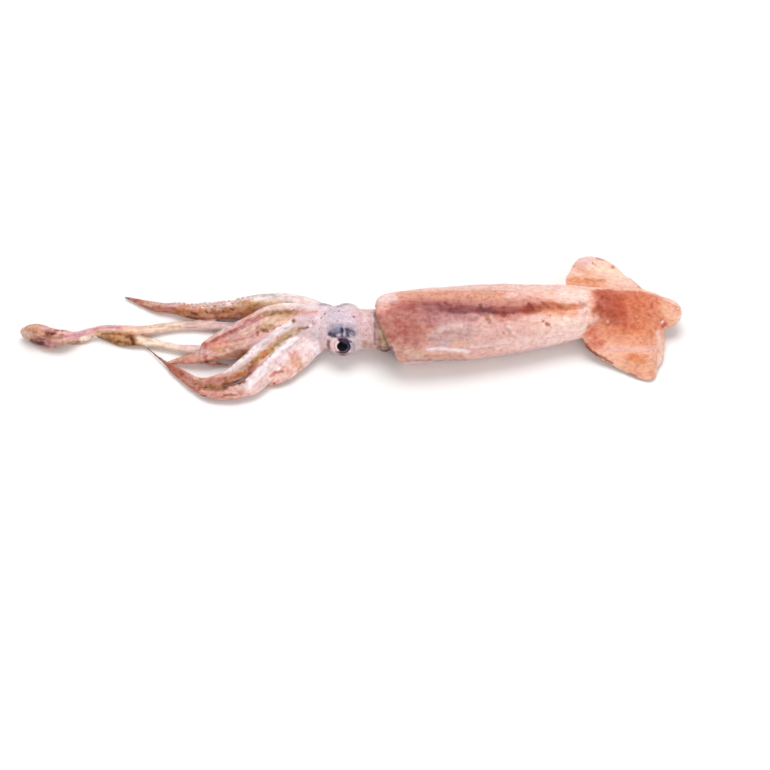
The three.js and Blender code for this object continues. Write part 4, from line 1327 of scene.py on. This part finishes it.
# %% [markdown]
# ## Suckers
# An arm carries two rows of small cups on its hollow side. A cup is a lathed ring with a
# dimple. One is turned with a spin and copied along the rows, each set upright on the skin
# that the weld left there. The far upper arm and the two arms underneath are given them. On
# the others they would stand out as white beads, which the squid in view doesn't have.

# %% One sucker
SUCKER_PROFILE = [(0.75, -0.5), (1.0, 0.2), (0.86, 0.5), (0.6, 0.45), (0.42, 0.1), (0, 0)]
bm = bmesh.new()
outline = [bm.verts.new((x, 0, z)) for x, z in SUCKER_PROFILE]
lines = [bm.edges.new(pair) for pair in zip(outline[:-1], outline[1:])]
bmesh.ops.spin(
    bm, geom=outline + lines, cent=(0, 0, 0), axis=(0, 0, 1), angle=2 * math.pi, steps=9,
    use_merge=True,
)
bmesh.ops.remove_doubles(bm, verts=bm.verts, dist=1e-4)
bmesh.ops.holes_fill(bm, edges=[edge for edge in bm.edges if edge.is_boundary], sides=0)
bmesh.ops.recalc_face_normals(bm, faces=bm.faces)
sucker = bpy.data.meshes.new("sucker")
bm.to_mesh(sucker)
bm.free()
print("one sucker has", len(sucker.polygons), "faces")


# %% Rows of suckers
def sucker_rows(limb):
    """Shares of the length, angles and radii of the cups on one limb."""
    run = np.linalg.norm(np.diff(limb["line"], axis=0), axis=1).sum()
    share = 0.3
    while share < 0.86:
        wide = at_share(limb["wide"][:, None], np.array([share]))[0, 0]
        growth = limb["cups"] * (0.3 + 0.7 * min(1, wide / 5))
        shown = 0.5 + 0.5 * smooth(abs(share - 0.55), 0.22, 0.12)
        for side in (-1, 1):
            chance = noise.noise(Vector((share * 60, side * 3.0, limb["face"])))
            radius = shown * growth * (1 + 0.5 * chance)
            if chance > -0.35:
                yield share + 0.004 * chance, limb["face"] + side * (0.32 + 0.1 * chance), radius
        share += (2.4 * growth + 0.3) / run


tree = BVHTree.FromObject(head, bpy.context.evaluated_depsgraph_get())
bm = bmesh.new()
count = 0
for limb in [one for one in limbs if one["cups"]]:
    for share, angle, radius in sucker_rows(limb):
        aim = limb_point(limb, np.array([share]), np.array([angle]))[0]
        place, normal, _, gap = tree.find_nearest(Vector(aim) * MM)
        if gap > 1.1 * MM:
            continue
        bm.from_mesh(sucker)
        bm.verts.ensure_lookup_table()
        cup = bm.verts[-len(sucker.vertices) :]
        stand = Matrix.Translation(place) @ normal.to_track_quat("Z", "Y").to_matrix().to_4x4()
        bmesh.ops.transform(bm, matrix=stand @ Matrix.Scale(radius * MM, 4), verts=cup)
        count += 1
suckers = finish_mesh(bm, "suckers")
print(count, "suckers,", len(suckers.data.polygons), "faces")

# %% [markdown]
# ## Materials
# Every colour is an sRGB hex value, turned to linear by one function. One small function
# adds a node with its settings and links.

# %% Helpers for materials
def linear(hex_colour):
    return (*to_linear(srgb(hex_colour)), 1.0)


def node(tree, kind, settings=None, **links):
    """Adds a node. Links name its sockets, with a value or another node's output."""
    made = tree.nodes.new("ShaderNode" + kind)
    for key, value in (settings or {}).items():
        setattr(made, key, value)
    for key, value in links.items():
        numbered = key[0] == "i" and key[1:].isdigit()
        socket = made.inputs[int(key[1:]) if numbered else key.replace("_", " ")]
        if isinstance(value, bpy.types.NodeSocket):
            tree.links.new(value, socket)
        else:
            socket.default_value = value
    return made


def start_material(name):
    material = bpy.data.materials.new(name)
    material.use_nodes = True
    tree = material.node_tree
    tree.nodes.clear()
    return material, tree


def per_mm(size):
    """A pattern's scale for features of this many millimetres."""
    return 1000 / size


def painted(tree, name, output):
    """What save_coat saved under a name."""
    return node(tree, "Attribute", {"attribute_name": name}).outputs[output]


def cloud(tree, where, size, detail=2.0):
    """Noise with features of this many millimetres."""
    made = node(tree, "TexNoise", None, Vector=where, Scale=per_mm(size), Detail=detail)
    return made.outputs["Fac"]


def ranged(tree, value, start, stop, low=0.0, high=1.0):
    """Goes from low to high while the value goes from start to stop."""
    return node(
        tree, "MapRange", None, Value=value, From_Min=start, From_Max=stop, To_Min=low, To_Max=high
    ).outputs[0]


def product(tree, first, second):
    return node(tree, "Math", {"operation": "MULTIPLY"}, i0=first, i1=second).outputs[0]


def laid_over(tree, share, under, over, kind="MIX"):
    settings = {"data_type": "RGBA", "blend_type": kind}
    return node(tree, "Mix", settings, i0=share, i6=under, i7=over).outputs[2]


# %% [markdown]
# Raw skin is a wet, thin, translucent layer over muscle. The coat of colour is broken up by
# patches, by fibres that run along the flesh and by freckles, which are single sacs of
# pigment. Light enters it a little way, and a film of water lies on top.

# %% Wet skin
def wet_skin(name, stain, most_stain, freckle, fibre_strength, clear_share):
    """Patches of stain show by most_stain at the most, and pale streaks by clear_share."""
    material, tree = start_material(name)
    where = node(tree, "TexCoord").outputs["Object"]
    flow = painted(tree, "flow", "Vector")
    patches = cloud(tree, where, 2.6, 4.0)
    most = ranged(tree, painted(tree, "deep", "Fac"), 0.0, 1.0, 0.3, most_stain)
    stained = product(tree, ranged(tree, patches, 0.43, 0.66), most)
    coat = painted(tree, "coat", "Color")
    colour = laid_over(tree, stained, coat, linear(stain), "MULTIPLY")
    clear = ranged(tree, cloud(tree, flow, 3.2, 3.0), 0.5, 0.68, 0.0, clear_share)
    colour = laid_over(tree, clear, colour, linear("#f7e2dc"))
    fibres = cloud(tree, flow, 1.3, 3.0)
    streaks = ranged(tree, fibres, 0.3, 0.7, 1.04 - fibre_strength, 1.04 + fibre_strength)
    colour = laid_over(tree, 1.0, colour, streaks, "MULTIPLY")
    cells = node(tree, "TexVoronoi", None, Vector=where, Scale=per_mm(1.5)).outputs["Distance"]
    gathered = ranged(tree, cloud(tree, where, 5), 0.5, 0.62)
    freckles = product(tree, ranged(tree, cells, 0.3, 0.14), gathered)
    freckles = product(tree, freckles, painted(tree, "freckles", "Fac"))
    colour = laid_over(tree, freckles, colour, linear(freckle))
    bump = node(tree, "Bump", None, Strength=0.5, Distance=0.0003, Height=fibres)
    dull = ranged(tree, patches, 0.35, 0.65, 0.42, 0.56)
    shader = node(
        tree, "BsdfPrincipled", None,
        Base_Color=colour, Roughness=dull, IOR=1.36, Normal=bump.outputs[0],
        Specular_IOR_Level=0.35, Coat_Weight=0.15, Coat_Roughness=0.2, Coat_IOR=1.34,
        Subsurface_Weight=0.2, Subsurface_Scale=0.001, Subsurface_Radius=(1.0, 0.5, 0.35),
    )
    node(tree, "OutputMaterial", Surface=shader.outputs[0])
    return material


mantle.data.materials.append(
    wet_skin("raw_squid_mantle_skin", "#cf958a", 0.6, "#8a3f3c", 0.12, 0.07)
)
head.data.materials.append(
    wet_skin("raw_squid_arm_skin", "#c28f78", 0.75, "#6f4444", 0.2, 0.22)
)

# %% Suckers and eyeballs
sucker_material, tree = start_material("sucker_flesh")
sucker_shader = node(
    tree, "BsdfPrincipled", None, Base_Color=linear("#dabcb6"), Roughness=0.45, Coat_Weight=0.15,
    Subsurface_Weight=0.2, Subsurface_Scale=0.001,
)
node(tree, "OutputMaterial", Surface=sucker_shader.outputs[0])
suckers.data.materials.append(sucker_material)

eye_material, tree = start_material("wet_eyeball")
eye_shader = node(
    tree, "BsdfPrincipled", None, Base_Color=painted(tree, "coat", "Color"), Roughness=0.3,
    IOR=1.36, Specular_IOR_Level=0.12, Coat_Weight=0.1, Coat_Roughness=0.04, Coat_IOR=1.34,
)
node(tree, "OutputMaterial", Surface=eye_shader.outputs[0])
for ball in eyeballs.values():
    ball.data.materials.append(eye_material)

for piece in (mantle, head, suckers, *eyeballs.values()):
    piece.data.polygons.foreach_set("use_smooth", [True] * len(piece.data.polygons))

# %% [markdown]
# ## Table and light
# The squid lies on a plain pale table in soft studio light: a large softbox overhead and a
# little behind, a weaker one from the front, and a pale room round it.

# %% Table and light
bm = bmesh.new()
bmesh.ops.create_grid(bm, x_segments=1, y_segments=1, size=4)
table_top = finish_mesh(bm, "table_top")
table_material, tree = start_material("matt_white_table")
table_shader = node(tree, "BsdfPrincipled", None, Base_Color=linear("#fbfaf9"), Roughness=0.9)
node(tree, "OutputMaterial", Surface=table_shader.outputs[0])
table_top.data.materials.append(table_material)


def softbox(name, place, target, size, power):
    lamp = bpy.data.lights.new(name, "AREA")
    lamp.shape = "DISK"
    lamp.size = size
    lamp.energy = power
    box = bpy.data.objects.new(name, lamp)
    box.location = place
    box.rotation_euler = (Vector(target) - Vector(place)).to_track_quat("-Z", "Y").to_euler()
    bpy.context.scene.collection.objects.link(box)


softbox("overhead", (-0.05, 0.35, 1.1), (-0.08, 0, 0), 0.9, 8.3)
softbox("front", (0.2, -1.2, 0.9), (-0.08, 0, 0), 0.7, 4.6)
world = bpy.data.worlds.new("pale_room")
world.use_nodes = True
background = world.node_tree.nodes["Background"]
background.inputs["Color"].default_value = (1, 1, 1, 1)
background.inputs["Strength"].default_value = 0.55
bpy.context.scene.world = world
bpy.context.scene.view_settings.view_transform = "Standard"
print("light set")

# %% Attach the pieces and finish
for piece, node_name, slot in (
    (mantle, "mantle", "mantle_skin"),
    (head, "head_and_arms", "arm_skin"),
    (eyeballs["eye_left"], "eye_left", "eye"),
    (eyeballs["eye_right"], "eye_right", "eye"),
):
    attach(piece, "root")
    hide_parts(node_name)
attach(suckers, "root")
